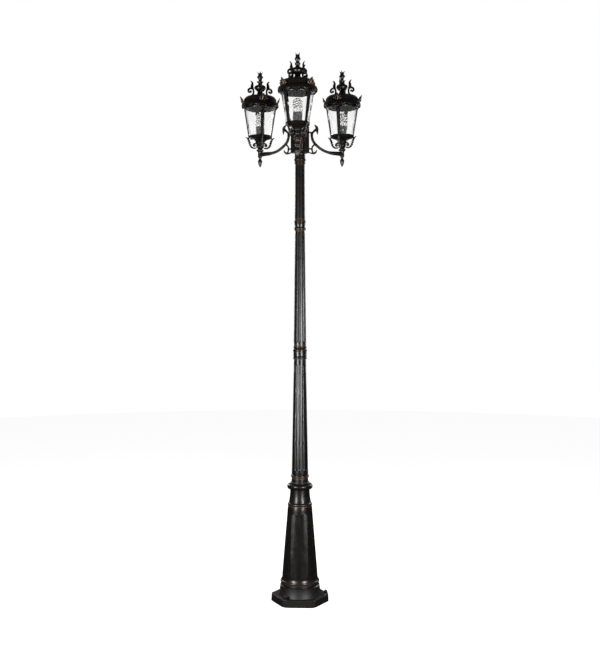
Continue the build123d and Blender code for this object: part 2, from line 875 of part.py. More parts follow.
with BuildPart() as arm:
    # back plate with the bolt holes
    with BuildSketch(Plane.YZ.offset(box_apothem)):
        with Locations((0, plate_bottom + arm_plate_height / 2)):
            SlotOverall(arm_plate_height, arm_plate_width, rotation=90)
        with Locations(*[(0, level) for level in bolt_levels]):
            Circle(arm_bolt_radius + hole_clearance, mode=Mode.SUBTRACT)
    extrude(amount=arm_plate_thickness)
    # the bar: a bend, then level to the hub
    with BuildLine() as arm_line:
        with BuildLine(Plane.XZ):
            ThreePointArc(
                on_bend(bend_start),
                on_bend((bend_start + bend_end) / 2),
                on_bend(bend_end),
            )
            Line(on_bend(bend_end), (lantern_circle_radius - hub_radius / 2, arm_level))
    with BuildSketch(Plane(origin=arm_line.line @ 0, z_dir=arm_line.line % 0)):
        Circle(arm_bar_radius)
    sweep(path=arm_line.line)
    # tabs from the plate, the leaf and the scroll bracket are one flat casting
    with BuildSketch(Plane.XZ):
        with BuildLine():
            Line((plate_face - 1.0, arm_top_level - 5.0), (arm_top_reach + 4.0, arm_top_level - 5.0))
        trace(line_width=8.0)
        with BuildLine():
            Line((arm_top_reach + 1.0, arm_top_level - 6.0), (arm_top_reach + 22.0, arm_top_level + 13.0))
        trace(line_width=7.0)
        with BuildLine():
            ThreePointArc(
                (arm_top_reach + 15.0, arm_top_level + 38.0),
                (arm_top_reach + 35.0, arm_top_level + 20.0),
                (arm_top_reach + 35.0, arm_top_level - 8.0),
            )
            ThreePointArc(
                (arm_top_reach + 35.0, arm_top_level - 8.0),
                (arm_top_reach + 23.0, arm_top_level + 13.0),
                (arm_top_reach + 15.0, arm_top_level + 38.0),
            )
        make_face()
        with BuildLine():
            Line((plate_face - 1.0, scroll_waist[1]), scroll_waist)
        trace(line_width=5.0)
        with BuildLine():
            ThreePointArc(
                scroll_joint,
                (scroll_waist[0] + 7.0, scroll_waist[1] + 15.0),
                scroll_waist,
            )
            ThreePointArc(
                scroll_waist,
                (scroll_waist[0] + 10.0, scroll_waist[1] - 10.0),
                scroll_foot,
            )
        trace(line_width=5.0)
        with BuildLine():
            ThreePointArc(
                scroll_foot,
                (scroll_foot[0] + 13.0, scroll_foot[1] + 3.0),
                scroll_tip,
            )
        trace(line_width=5.0)
        with BuildLine():
            Line((plate_face - 1.0, scroll_foot[1] + 4.0), (scroll_foot[0], scroll_foot[1] + 4.0))
        trace(line_width=3.5)
        with Locations((scroll_foot[0] + 2.0, scroll_foot[1] + 3.0)):
            Circle(6.0)
    extrude(amount=ornament_thickness / 2, both=True)
    # plain flared end and hub
    with BuildSketch(Plane.XZ):
        with BuildLine():
            turned(
                (lantern_circle_radius - hub_radius - arm_flare_length, arm_level),
                (lantern_circle_radius - hub_radius - arm_flare_length, arm_level + arm_bar_radius),
                (lantern_circle_radius - hub_radius / 2, arm_level + arm_flare_radius),
                (lantern_circle_radius - hub_radius / 2, arm_level),
            )
        make_face()
    revolve(axis=Axis((0, 0, arm_level), (1, 0, 0)))
    with BuildSketch(Plane.XY.offset(hub_bottom)):
        with Locations((lantern_circle_radius, 0)):
            Circle(hub_radius)
    extrude(amount=hub_height)
    with BuildSketch(Plane.XY.offset(hub_bottom)):
        with Locations((lantern_circle_radius, 0)):
            Circle(nipple_radius + socket_clearance)
    extrude(amount=hub_height, mode=Mode.SUBTRACT)

with BuildPart() as arm_bolt:
    with BuildSketch(Plane.YZ.offset(plate_face)):
        with Locations((0, bolt_levels[0])):
            Circle(arm_bolt_head_radius)
    extrude(amount=arm_bolt_head_height)
    with BuildSketch(Plane.YZ.offset(plate_face)):
        with Locations((0, bolt_levels[0])):
            Circle(arm_bolt_radius)
    extrude(amount=-(arm_plate_thickness + box_wall + arm_bolt_tail))

with BuildPart() as arm_bolts:
    for arm_angle in lantern_names.values():
        with Locations(*[Location((0, 0, level - bolt_levels[0]), (0, 0, arm_angle)) for level in bolt_levels]):
            add(arm_bolt.part)
finish(arm_bolts, "arm_bolts")

# ---- lantern pieces, drawn on the Z axis, with the arm behind them towards -X ----
nipple_low = hub_bottom - acorn_thread_depth + 2.0
nipple_high = glass_seat + 3.0

with BuildPart() as nipple:
    with BuildSketch(Plane.XY.offset(nipple_low)):
        Circle(nipple_radius)
        Circle(nipple_bore, mode=Mode.SUBTRACT)
    extrude(amount=nipple_high - nipple_low)

acorn_bottom = hub_bottom - acorn_height
with BuildPart() as acorn_finial:
    with BuildSketch(Plane.XZ):
        with BuildLine():
            turned(
                (0, acorn_bottom),
                (2.2, acorn_bottom + 1.0),
                (
                    (acorn_radius * 0.72, acorn_bottom + acorn_height * 0.24),
                    (acorn_radius, acorn_bottom + acorn_height * 0.5),
                ),
                (
                    (acorn_radius * 0.95, acorn_bottom + acorn_height * 0.66),
                    (acorn_radius * 0.62, acorn_bottom + acorn_height * 0.76),
                ),
                (acorn_radius * 0.62, acorn_bottom + acorn_height * 0.82),
                (
                    (acorn_radius * 0.7, acorn_bottom + acorn_height * 0.9),
                    (acorn_radius * 0.95, hub_bottom),
                ),
                (0, hub_bottom),
            )
        make_face()
    revolve(axis=Axis.Z)
    with BuildSketch(Plane.XY.offset(hub_bottom)):
        Circle(nipple_radius + socket_clearance)
    extrude(amount=-acorn_thread_depth, mode=Mode.SUBTRACT)

glass_slope = (glass_top_radius - glass_bottom_radius) / glass_height
glass_recess_radius = glass_bottom_radius + glass_slope * glass_recess + glass_side_gap
with BuildPart() as gallery:
    with BuildSketch(Plane.XZ):
        with BuildLine():
            turned(
                (nipple_radius + socket_clearance, hub_top),
                (hub_radius, hub_top),
                bead(hub_radius, gallery_bead_radius, hub_top, hub_top + 12.0),
                (hub_radius, hub_top + 16.0),
                (
                    (gallery_column_radius - 3.0, hub_top + 21.0),
                    (gallery_column_radius, hub_top + 27.0),
                ),
                (gallery_column_radius, hub_top + 44.0),
                (
                    (gallery_column_radius + 9.0, hub_top + 57.0),
                    (gallery_radius - 6.0, gallery_top - gallery_rim_height - 3.0),
                ),
                (gallery_radius, gallery_top - gallery_rim_height),
                (gallery_radius, gallery_top),
                (glass_recess_radius, gallery_top),
                (glass_recess_radius, glass_seat),
                (nipple_radius + socket_clearance, glass_seat),
            )
        make_face()
    revolve(axis=Axis.Z)

with BuildPart() as glass:
    with BuildSketch(Plane.XZ):
        with BuildLine():
            turned(
                (glass_bottom_radius - glass_thickness, glass_seat),
                (glass_bottom_radius, glass_seat),
                (glass_top_radius, glass_top),
                (glass_top_radius - glass_thickness, glass_top),
            )
        make_face()
    revolve(axis=Axis.Z)

# ---- cage: four ribs from the gallery's rim to a ring round the top of the glass ----
ring_inner = glass_top_radius + glass_side_gap
ring_outer = ring_inner + rib_thickness
rib_foot = gallery_top - gallery_rim_height
with BuildPart() as rib:
    with BuildSketch(Plane.XZ):
        with BuildLine():
            turned(
                (gallery_radius, rib_foot),
                (gallery_radius + rib_thickness, rib_foot),
                (gallery_radius + rib_thickness, gallery_top),
                (ring_outer, cage_top - cage_ring_height),
                (ring_outer, cage_top),
                (ring_inner, cage_top),
                (ring_inner, cage_top - cage_ring_height),
                (gallery_radius, gallery_top),
            )
        make_face()
    extrude(amount=rib_top_width / 2, both=True)
    with BuildSketch(Plane.YZ):
        with BuildLine():
            turned(
                (-rib_foot_width / 2, rib_foot),
                (rib_foot_width / 2, rib_foot),
                (rib_top_width / 2, cage_top),
                (-rib_top_width / 2, cage_top),
            )
        make_face()
    extrude(amount=ring_outer + 5.0, mode=Mode.INTERSECT)

with BuildPart() as cage:
    with BuildSketch(Plane.XY.offset(cage_top - cage_ring_height)):
        Circle(ring_outer)
        Circle(ring_inner, mode=Mode.SUBTRACT)
    extrude(amount=cage_ring_height)
    with PolarLocations(0, rib_count, start_angle=corner_angle):
        add(rib.part)
    # the ring and the rim of the gallery stay round inside the flat ribs
    with BuildSketch(Plane.XY.offset(cage_top - cage_ring_height)):
        Circle(ring_inner)
    extrude(amount=cage_ring_height, mode=Mode.SUBTRACT)
    with BuildSketch(Plane.XY.offset(rib_foot)):
        Circle(gallery_radius)
    extrude(amount=gallery_rim_height, mode=Mode.SUBTRACT)

# ---- scroll brackets under the gallery ----
bracket_low = hub_top + 17.0
curl_centre = gallery_column_radius + seat_gap + lower_curl_radius
with BuildPart() as lower_scroll:
    with BuildSketch(Plane.XZ):
        with BuildLine():
            ThreePointArc(
                (gallery_column_radius + seat_gap, bracket_low + 2.0),
                (gallery_column_radius + 14.0, bracket_low),
                (gallery_column_radius + 30.0, bracket_low + 9.0),
            )
            ThreePointArc(
                (gallery_column_radius + 30.0, bracket_low + 9.0),
                (gallery_radius + 1.0, bracket_low + 25.0),
                (gallery_radius + 6.0, bracket_low + 46.0),
            )
        trace(line_width=4.5)
        with BuildLine():
            turned(
                (gallery_radius + 3.8, bracket_low + 44.0),
                (gallery_radius + 8.6, bracket_low + 44.0),
                ((gallery_radius + 11.0, bracket_low + 54.0), (gallery_radius + 17.5, bracket_low + 62.0)),
                ((gallery_radius + 8.0, bracket_low + 58.0), (gallery_radius + 3.8, bracket_low + 52.0)),
            )
        make_face()
        with BuildLine():
            ThreePointArc(
                (curl_centre - 5.0, bracket_low + 4.0),
                (curl_centre - 2.0, bracket_low + 10.0),
                (curl_centre, bracket_low + 18.0),
            )
        trace(line_width=4.0)
        with Locations((curl_centre, bracket_low + 19.0)):
            Circle(lower_curl_radius)
    extrude(amount=ornament_thickness / 2, both=True)

# ---- lampholder and bulb ----
holder_top = glass_seat + holder_height
cap_bottom = holder_top - bulb_cap_length
holder_bore = bulb_cap_radius + running_clearance
with BuildPart() as lampholder:
    with BuildSketch(Plane.XZ):
        with BuildLine():
            turned(
                (nipple_radius + socket_clearance, glass_seat),
                (holder_base_radius, glass_seat),
                (holder_base_radius, glass_seat + holder_base_height),
                (
                    (holder_radius + 1.5, glass_seat + holder_base_height + 5.0),
                    (holder_radius, glass_seat + holder_base_height + 12.0),
                ),
                (holder_radius, holder_top),
                (holder_bore, holder_top),
                (holder_bore, cap_bottom - 3.0),
                (nipple_radius + socket_clearance, cap_bottom - 3.0),
            )
        make_face()
    revolve(axis=Axis.Z)

ballast_bottom = holder_top + seat_gap
ballast_top = ballast_bottom + ballast_height
burner_top = ballast_top + burner_height
coil_step = burner_height / 4
with BuildPart() as bulb:
    with BuildSketch(Plane.XZ):
        with BuildLine():
            turned(
                (0, cap_bottom),
                (bulb_cap_radius * 0.4, cap_bottom),
                (bulb_cap_radius, cap_bottom + 6.0),
                (bulb_cap_radius, ballast_bottom),
                (ballast_radius * 0.8, ballast_bottom),
                (
                    (ballast_radius, ballast_bottom + ballast_height * 0.45),
                    (ballast_radius * 0.9, ballast_top),
                ),
                bead(ballast_radius * 0.9, burner_radius, ballast_top, ballast_top + coil_step),
                bead(
                    ballast_radius * 0.9,
                    burner_radius,
                    ballast_top + coil_step,
                    ballast_top + 2 * coil_step,
                ),
                (
                    (burner_radius * 0.9, ballast_top + 2.5 * coil_step),
                    (burner_radius * 0.72, ballast_top + 3 * coil_step),
                ),
                (
                    (burner_radius * 0.62, ballast_top + 3.6 * coil_step),
                    (burner_radius * 0.25, burner_top),
                ),
                (0, burner_top),
            )
        make_face()
    revolve(axis=Axis.Z)

# ---- roof: scalloped rim, drum, dome and urn ----
fringe_low = roof_seat - fringe_drop
notch_level = roof_seat - fringe_notch_radius + 1.0
with BuildPart() as roof:
    with BuildSketch(Plane.XZ):
        with BuildLine():
            turned(
                (rim_radius - fringe_thickness - fringe_tuck, fringe_low),
                (rim_radius - fringe_tuck, fringe_low),
                (rim_radius, roof_seat),
                (
                    (rim_radius - 0.6, roof_seat + rim_height * 0.6),
                    (rim_radius - 3.0, rim_top),
                ),
                (rim_shelf_radius, rim_top),
                (
                    (drum_radius + 0.4, rim_top + drum_height * 0.18),
                    (drum_radius, rim_top + drum_height * 0.4),
                ),
                (drum_radius, rim_top + drum_height * 0.8),
                (drum_radius - 3.0, drum_top),
                (
                    (drum_radius - 10.0, drum_top + dome_rise * 0.6),
                    (dome_shelf_radius, dome_shelf),
                ),
                (dome_shelf_inner, dome_shelf),
                (dome_shelf_inner - 2.0, dome_shelf + 3.0),
                (
                    (roof_neck_radius + 4.0, dome_shelf + roof_neck_rise * 0.5),
                    (roof_neck_radius, urn_bottom),
                ),
                (
                    (urn_radius * 0.75, urn_bottom + urn_height * 0.16),
                    (urn_radius, urn_bottom + urn_height * 0.5),
                ),
                (
                    (urn_radius * 0.88, urn_bottom + urn_height * 0.82),
                    (urn_mouth_radius + 2.0, urn_top - 2.0),
                ),
                (urn_mouth_radius, urn_top),
                (0, urn_top),
                (0, dome_shelf - roof_wall + 3.0),
                (dome_shelf_inner, dome_shelf - roof_wall),
                (dome_shelf_radius, dome_shelf - roof_wall),
                (drum_radius - roof_wall - 3.0, drum_top - 1.0),
                (drum_radius - roof_wall, rim_top),
                (drum_radius - roof_wall, roof_seat + ledge_thickness),
                (ledge_inner_radius, roof_seat + ledge_thickness),
                (ledge_inner_radius, roof_seat),
                (rim_radius - fringe_thickness - 0.5, roof_seat),
            )
        make_face()
    revolve(axis=Axis.Z)
    # notches leave pointed lobes along the fringe
    with BuildSketch(Plane.YZ.offset(ring_outer + 2.0)):
        with Locations((0, notch_level)):
            Circle(fringe_notch_radius)
    notch = extrude(amount=rim_radius, mode=Mode.PRIVATE)
    with BuildSketch(Plane.XY.offset(roof_seat)):
        Circle(rim_radius + 10.0)
    keep = extrude(amount=urn_height, mode=Mode.PRIVATE)
    with PolarLocations(0, fringe_lobes, start_angle=180.0 / fringe_lobes):
        add(notch - keep, mode=Mode.SUBTRACT)
    with BuildSketch(Plane.XY.offset(urn_top)):
        Circle(finial_pin_radius + running_clearance)
    extrude(amount=-(finial_pin_length + 2.0), mode=Mode.SUBTRACT)

# ---- leaves on the rim, leaning outwards ----
leaf_foot = 3.0
leaf_plane = Plane(
    origin=((rim_shelf_radius + rim_radius - 3.0) / 2 - leaf_thickness / 2, 0, rim_top + leaf_foot),
    x_dir=(0, 1, 0),
    z_dir=(cos(radians(leaf_lean)), 0, -sin(radians(leaf_lean))),
)
with BuildPart() as rim_leaf:
    with BuildSketch(Plane.XY.offset(rim_top)):
        with Locations(((rim_shelf_radius + rim_radius - 3.0) / 2 + 0.5, 0)):
            Rectangle(leaf_thickness + 1.5, leaf_half_width * 1.1)
    extrude(amount=leaf_foot + 2.0)
    with BuildSketch(leaf_plane):
        with BuildLine():
            turned(
                (-leaf_half_width * 0.4, -1.0),
                (
                    (-leaf_half_width * 0.95, leaf_height * 0.12),
                    (-leaf_half_width, leaf_height * 0.36),
                ),
                (-leaf_half_width * 0.6, leaf_height * 0.38),
                (
                    (-leaf_half_width * 0.62, leaf_height * 0.55),
                    (-leaf_half_width * 0.5, leaf_height * 0.66),
                ),
                (-leaf_half_width * 0.25, leaf_height * 0.64),
                (0, leaf_height),
                (leaf_half_width * 0.25, leaf_height * 0.64),
                (leaf_half_width * 0.5, leaf_height * 0.66),
                (
                    (leaf_half_width * 0.62, leaf_height * 0.55),
                    (leaf_half_width * 0.6, leaf_height * 0.38),
                ),
                (leaf_half_width, leaf_height * 0.36),
                (
                    (leaf_half_width * 0.95, leaf_height * 0.12),
                    (leaf_half_width * 0.4, -1.0),
                ),
            )
        make_face()
    extrude(amount=leaf_thickness)

# ---- crown scrolls on the dome ----
crown_foot = (dome_shelf_radius + dome_shelf_inner) / 2
with BuildPart() as crown_scroll:
    with BuildSketch(Plane.XZ):
        # leg from the dome's shelf to the fork
        with BuildLine():
            ThreePointArc(
                (crown_foot, dome_shelf + crown_bar / 2),
                (crown_foot - 12.0, crown_level + 10.0),
                (crown_foot - 15.5, crown_level + 27.0),
            )
            ThreePointArc(
                (crown_foot - 15.5, crown_level + 27.0),
                (crown_foot - 14.0, crown_level + 36.0),
                (crown_foot - 8.0, crown_level + 43.0),
            )
        trace(line_width=crown_bar)
        with Locations((crown_foot, dome_shelf + crown_bar / 2)):
            Rectangle(crown_bar * 1.6, crown_bar)
        # the curl outwards and back to its eye
        with BuildLine():
            ThreePointArc(
                (crown_foot - 8.0, crown_level + 43.0),
                (crown_foot + 12.0, crown_level + 41.0),
                (crown_foot + 16.0, crown_level + 26.0),
            )
            ThreePointArc(
                (crown_foot + 16.0, crown_level + 26.0),
                (crown_foot + 10.0, crown_level + 18.5),
                (crown_foot + 3.0, crown_level + 23.0),
            )
        trace(line_width=crown_bar)
        with Locations((crown_foot + 3.5, crown_level + 25.0)):
            Circle(crown_bar)
        # the pointed leaf above the fork
        with BuildLine():
            turned(
                (crown_foot - 13.0, crown_level + 41.0),
                (
                    (crown_foot - 10.0, crown_level + 55.0),
                    (crown_foot - 10.5, crown_level + 66.0),
                ),
                (
                    (crown_foot - 6.0, crown_level + 73.0),
                    (crown_foot + 0.5, crown_level + 79.0),
                ),
                (
                    (crown_foot - 4.0, crown_level + 68.0),
                    (crown_foot - 4.5, crown_level + 60.0),
                ),
                (
                    (crown_foot - 2.5, crown_level + 50.0),
                    (crown_foot + 4.0, crown_level + 43.0),
                ),
            )
        make_face()
    extrude(amount=crown_thickness / 2, both=True)

# ---- top finial ----
with BuildPart() as finial_tip:
    with BuildSketch(Plane.XZ):
        with BuildLine():
            turned(
                (finial_ring_radius * 0.3, finial_bottom + finial_height - 4.0),
                (finial_ring_radius * 0.58, finial_bottom + finial_height - 4.0),
                (finial_tip_spread, finial_bottom + finial_height + finial_tip_rise),
                (finial_tip_spread - 2.0, finial_bottom + finial_height + finial_tip_rise),
            )
        make_face()
    extrude(amount=finial_tip_radius, both=True)

with BuildPart() as finial:
    with BuildSketch(Plane.XZ):
        with BuildLine():
            turned(
                (0, urn_top - finial_pin_length),
                (finial_pin_radius, urn_top - finial_pin_length),
                (finial_pin_radius, finial_bottom),
                (urn_mouth_radius - 1.0, finial_bottom),
                (
                    (finial_ring_radius * 0.54, finial_bottom + finial_height * 0.1),
                    (finial_ring_radius * 0.62, finial_bottom + finial_height * 0.22),
                ),
                (finial_ring_radius, finial_bottom + finial_height * 0.3),
                (finial_ring_radius * 0.94, finial_bottom + finial_height * 0.34),
                (
                    (finial_ring_radius * 0.5, finial_bottom + finial_height * 0.4),
                    (finial_ring_radius * 0.44, finial_bottom + finial_height * 0.52),
                ),
                (
                    (finial_ball_radius * 0.78, finial_bottom + finial_height * 0.6),
                    (finial_ball_radius, finial_bottom + finial_height * 0.7),
                ),
                (
                    (finial_ball_radius * 0.82, finial_bottom + finial_height * 0.82),
                    (finial_ring_radius * 0.56, finial_bottom + finial_height * 0.92),
                ),
                (finial_ring_radius * 0.6, finial_bottom + finial_height),
                (0, finial_bottom + finial_height),
            )
        make_face()
    revolve(axis=Axis.Z)
    with PolarLocations(0, rib_count, start_angle=corner_angle):
        add(finial_tip.part)

# ---- the three lanterns ----
corner_seats = [Location((0, 0, 0), (0, 0, corner_angle + 360.0 / rib_count * k)) for k in range(rib_count)]
lantern_masters = {
    "nipple": nipple,
    "acorn_finial": acorn_finial,
    "gallery": gallery,
    "glass": glass,
    "cage": cage,
    "lampholder": lampholder,
    "bulb": bulb,
    "roof": roof,
    "finial": finial,
}
corner_masters = {
    "lower_scrolls": lower_scroll,
    "rim_leaves": rim_leaf,
    "crown_scrolls": crown_scroll,
}
for side, arm_angle in lantern_names.items():
    placed(arm, f"{side}_arm", Location((0, 0, 0), (0, 0, arm_angle)))
    stand = Location(
        (
            lantern_circle_radius * cos(radians(arm_angle)),
            lantern_circle_radius * sin(radians(arm_angle)),
            0,
        ),
        (0, 0, arm_angle),
    )
    for name, master in lantern_masters.items():
        placed(master, f"{side}_{name}", stand)
    for name, master in corner_masters.items():
        placed(master, f"{side}_{name}", *[stand * seat for seat in corner_seats])
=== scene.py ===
import math

import bpy
import bmesh
from mathutils import Matrix, Vector, noise


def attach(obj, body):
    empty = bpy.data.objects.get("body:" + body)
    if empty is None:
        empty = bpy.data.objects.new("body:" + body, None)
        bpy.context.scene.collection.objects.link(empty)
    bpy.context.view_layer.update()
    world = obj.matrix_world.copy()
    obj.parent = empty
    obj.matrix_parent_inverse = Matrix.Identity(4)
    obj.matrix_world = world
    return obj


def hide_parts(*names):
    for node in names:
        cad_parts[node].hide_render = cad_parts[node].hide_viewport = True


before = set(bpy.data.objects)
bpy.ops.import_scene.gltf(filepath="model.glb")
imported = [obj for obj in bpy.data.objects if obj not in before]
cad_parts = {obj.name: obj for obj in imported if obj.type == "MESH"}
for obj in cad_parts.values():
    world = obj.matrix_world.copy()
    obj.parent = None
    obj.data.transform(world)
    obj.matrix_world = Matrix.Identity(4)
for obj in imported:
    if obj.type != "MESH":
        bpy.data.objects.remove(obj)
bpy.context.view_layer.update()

print("frame loaded")

mm = 0.001
lanternAngles = {"front": -90.0, "right": 30.0, "left": 150.0}
lanternReach = 255.0  # from the post's axis to a lantern's axis
cornerTurns = [45.0 + 90.0 * k for k in range(4)]


def hexColour(text):
    channels = [int(text[k:k + 2], 16) / 255 for k in (1, 3, 5)]
    linear = [c / 12.92 if c <= 0.04045 else ((c + 0.055) / 1.055) ** 2.4 for c in channels]
    return (*linear, 1.0)


def addNode(tree, kind, settings=None, inputs=None):
    # one node with its settings, its constants and the sockets that feed it
    node = tree.nodes.new(kind)
    for key, value in (settings or {}).items():
        setattr(node, key, value)
    for key, value in (inputs or {}).items():
        if isinstance(value, bpy.types.NodeSocket):
            tree.links.new(value, node.inputs[key])
        else:
            node.inputs[key].default_value = value
    return node


def newMaterial(name):
    material = bpy.data.materials.new(name)
    material.use_nodes = True
    tree = material.node_tree
    tree.nodes.clear()
    output = addNode(tree, "ShaderNodeOutputMaterial")
    return material, tree, output


# cast aluminium in a near-black satin powder coat, with antique bronze rubbed on by hand:
# dark and glossy on the flats, warm copper-brown where a cloth would catch
powderCoatLook = {
    "coat": "#0c0b0b",
    "coatWarm": "#15110f",
    "bronze": "#6b4a35",
    "bronzePale": "#98795c",
    "roughness": 0.29,
    "rubRoughness": 0.42,
    "scuffed": 0.5,
    "scuffFade": 12.0,
    "rubMetal": 0.75,
    "mottleSize": 28.0,
    "grainSize": 1.6,
    "brushSize": 5.0,
    "edgeRadius": 1.3,
}


def powderCoat(name, bands=(), edgeRub=0.1, look=powderCoatLook, dullBelow=0.0):
    # bands are (low, high, strength) along the object's own Z, in mm; under dullBelow the coat is
    # matter, so that the lamps leave no hard spots in the hollow of the skirt
    material, tree, output = newMaterial(name)
    place = addNode(tree, "ShaderNodeTexCoord").outputs["Object"]
    mottle = addNode(tree, "ShaderNodeTexNoise", None, {
        "Vector": place, "Scale": 1 / (look["mottleSize"] * mm), "Detail": 3.0, "Roughness": 0.55})
    brush = addNode(tree, "ShaderNodeTexNoise", None, {
        "Vector": place, "Scale": 1 / (look["brushSize"] * mm), "Detail": 4.0, "Roughness": 0.65})
    grain = addNode(tree, "ShaderNodeTexNoise", None, {
        "Vector": place, "Scale": 1 / (look["grainSize"] * mm), "Detail": 2.0})
    painted = addNode(tree, "ShaderNodeAttribute", {"attribute_name": "rub"}).outputs["Fac"]

    # rounded normals differ from the true ones only at an edge, which is where the rub sits
    soft = addNode(tree, "ShaderNodeBevel", {"samples": 4}, {"Radius": look["edgeRadius"] * mm})
    true = addNode(tree, "ShaderNodeNewGeometry").outputs["Normal"]
    turn = addNode(tree, "ShaderNodeVectorMath", {"operation": "DOT_PRODUCT"}, {
        0: soft.outputs[0], 1: true})
    edge = addNode(tree, "ShaderNodeMapRange", None, {
        "Value": turn.outputs["Value"], "From Min": 0.985, "From Max": 0.84,
        "To Min": 0.0, "To Max": edgeRub})
    most = {"operation": "MAXIMUM"}
    rub = addNode(tree, "ShaderNodeMath", most, {0: painted, 1: edge.outputs[0]}).outputs[0]
    if bands:
        height = addNode(tree, "ShaderNodeSeparateXYZ", None, {0: place}).outputs["Z"]
        for low, high, strength in bands:
            middle, half = (low + high) / 2 * mm, (high - low) / 2 * mm
            off = addNode(tree, "ShaderNodeMath", {"operation": "SUBTRACT"}, {0: height, 1: middle})
            away = addNode(tree, "ShaderNodeMath", {"operation": "ABSOLUTE"}, {0: off.outputs[0]})
            band = addNode(tree, "ShaderNodeMapRange", {"interpolation_type": "SMOOTHSTEP"}, {
                "Value": away.outputs[0], "From Min": half, "From Max": half * 0.35,
                "To Min": 0.0, "To Max": strength})
            rub = addNode(tree, "ShaderNodeMath", most, {0: rub, 1: band.outputs[0]}).outputs[0]
    # the cloth skips and streaks
    wear = addNode(tree, "ShaderNodeMapRange", None, {
        "Value": brush.outputs["Fac"], "From Min": 0.34, "From Max": 0.62, "To Min": 0.35, "To Max": 1.0})
    rubbed = addNode(tree, "ShaderNodeMath", {"operation": "MULTIPLY", "use_clamp": True}, {
        0: rub, 1: wear.outputs[0]}).outputs[0]

    coat = addNode(tree, "ShaderNodeMix", {"data_type": "RGBA"}, {
        "Factor": mottle.outputs["Fac"], "A": hexColour(look["coat"]), "B": hexColour(look["coatWarm"])})
    bronze = addNode(tree, "ShaderNodeMix", {"data_type": "RGBA"}, {
        "Factor": brush.outputs["Fac"], "A": hexColour(look["bronze"]), "B": hexColour(look["bronzePale"])})
    colour = addNode(tree, "ShaderNodeMix", {"data_type": "RGBA"}, {
        "Factor": rubbed, "A": coat.outputs["Result"], "B": bronze.outputs["Result"]})
    smooth = addNode(tree, "ShaderNodeMapRange", None, {
        "Value": mottle.outputs["Fac"], "From Min": 0.3, "From Max": 0.7,
        "To Min": look["roughness"] - 0.03, "To Max": look["roughness"] + 0.05}).outputs[0]
    if dullBelow:
        foot = addNode(tree, "ShaderNodeSeparateXYZ", None, {0: place}).outputs["Z"]
        scuffed = addNode(tree, "ShaderNodeMapRange", {"interpolation_type": "SMOOTHSTEP"}, {
            "Value": foot, "From Min": (dullBelow - look["scuffFade"]) * mm, "From Max": dullBelow * mm,
            "To Min": look["scuffed"], "To Max": 0.0})
        smooth = addNode(tree, "ShaderNodeMath", most, {0: smooth, 1: scuffed.outputs[0]}).outputs[0]
    rough = addNode(tree, "ShaderNodeMix", {"data_type": "FLOAT"}, {
        "Factor": rubbed, "A": smooth, "B": look["rubRoughness"]})
    metal = addNode(tree, "ShaderNodeMath", {"operation": "MULTIPLY"}, {0: rubbed, 1: look["rubMetal"]})
    bump = addNode(tree, "ShaderNodeBump", None, {
        "Height": grain.outputs["Fac"], "Strength": 0.1, "Distance": 0.05 * mm})
    shader = addNode(tree, "ShaderNodeBsdfPrincipled", None, {
        "Base Color": colour.outputs["Result"], "Metallic": metal.outputs[0],
        "Roughness": rough.outputs["Result"], "Normal": bump.outputs[0], "IOR": 1.5})
    tree.links.new(shader.outputs[0], output.inputs["Surface"])
    return material


def zincPlate(name, tint="#b9bcbd", roughness=0.36):
    # steel, electroplated in zinc: a cool grey with a faint cloudiness
    material, tree, output = newMaterial(name)
    place = addNode(tree, "ShaderNodeTexCoord").outputs["Object"]
    cloud = addNode(tree, "ShaderNodeTexNoise", None, {
        "Vector": place, "Scale": 1 / (6.0 * mm), "Detail": 4.0})
    colour = addNode(tree, "ShaderNodeMix", {"data_type": "RGBA"}, {
        "Factor": cloud.outputs["Fac"], "A": hexColour(tint), "B": hexColour("#8f9496")})
    rough = addNode(tree, "ShaderNodeMapRange", None, {
        "Value": cloud.outputs["Fac"], "To Min": roughness - 0.08, "To Max": roughness + 0.12})
    shader = addNode(tree, "ShaderNodeBsdfPrincipled", None, {
        "Base Color": colour.outputs["Result"], "Metallic": 1.0, "Roughness": rough.outputs[0]})
    tree.links.new(shader.outputs[0], output.inputs["Surface"])
    return material


def mouldedPlastic(name, dark, light, roughness, grainSize=0.9, ior=1.5):
    # compression-moulded resin: even colour with a little depth and a very fine grain
    material, tree, output = newMaterial(name)
    place = addNode(tree, "ShaderNodeTexCoord").outputs["Object"]
    cloud = addNode(tree, "ShaderNodeTexNoise", None, {
        "Vector": place, "Scale": 1 / (14.0 * mm), "Detail": 3.0})
    grain = addNode(tree, "ShaderNodeTexNoise", None, {"Vector": place, "Scale": 1 / (grainSize * mm)})
    colour = addNode(tree, "ShaderNodeMix", {"data_type": "RGBA"}, {
        "Factor": cloud.outputs["Fac"], "A": hexColour(dark), "B": hexColour(light)})
    rough = addNode(tree, "ShaderNodeMapRange", None, {
        "Value": cloud.outputs["Fac"], "To Min": roughness - 0.06, "To Max": roughness + 0.06})
    bump = addNode(tree, "ShaderNodeBump", None, {
        "Height": grain.outputs["Fac"], "Strength": 0.1, "Distance": 0.1 * mm})
    shader = addNode(tree, "ShaderNodeBsdfPrincipled", None, {
        "Base Color": colour.outputs["Result"], "Roughness": rough.outputs[0],
        "Normal": bump.outputs[0], "IOR": ior})
    tree.links.new(shader.outputs[0], output.inputs["Surface"])
    return material


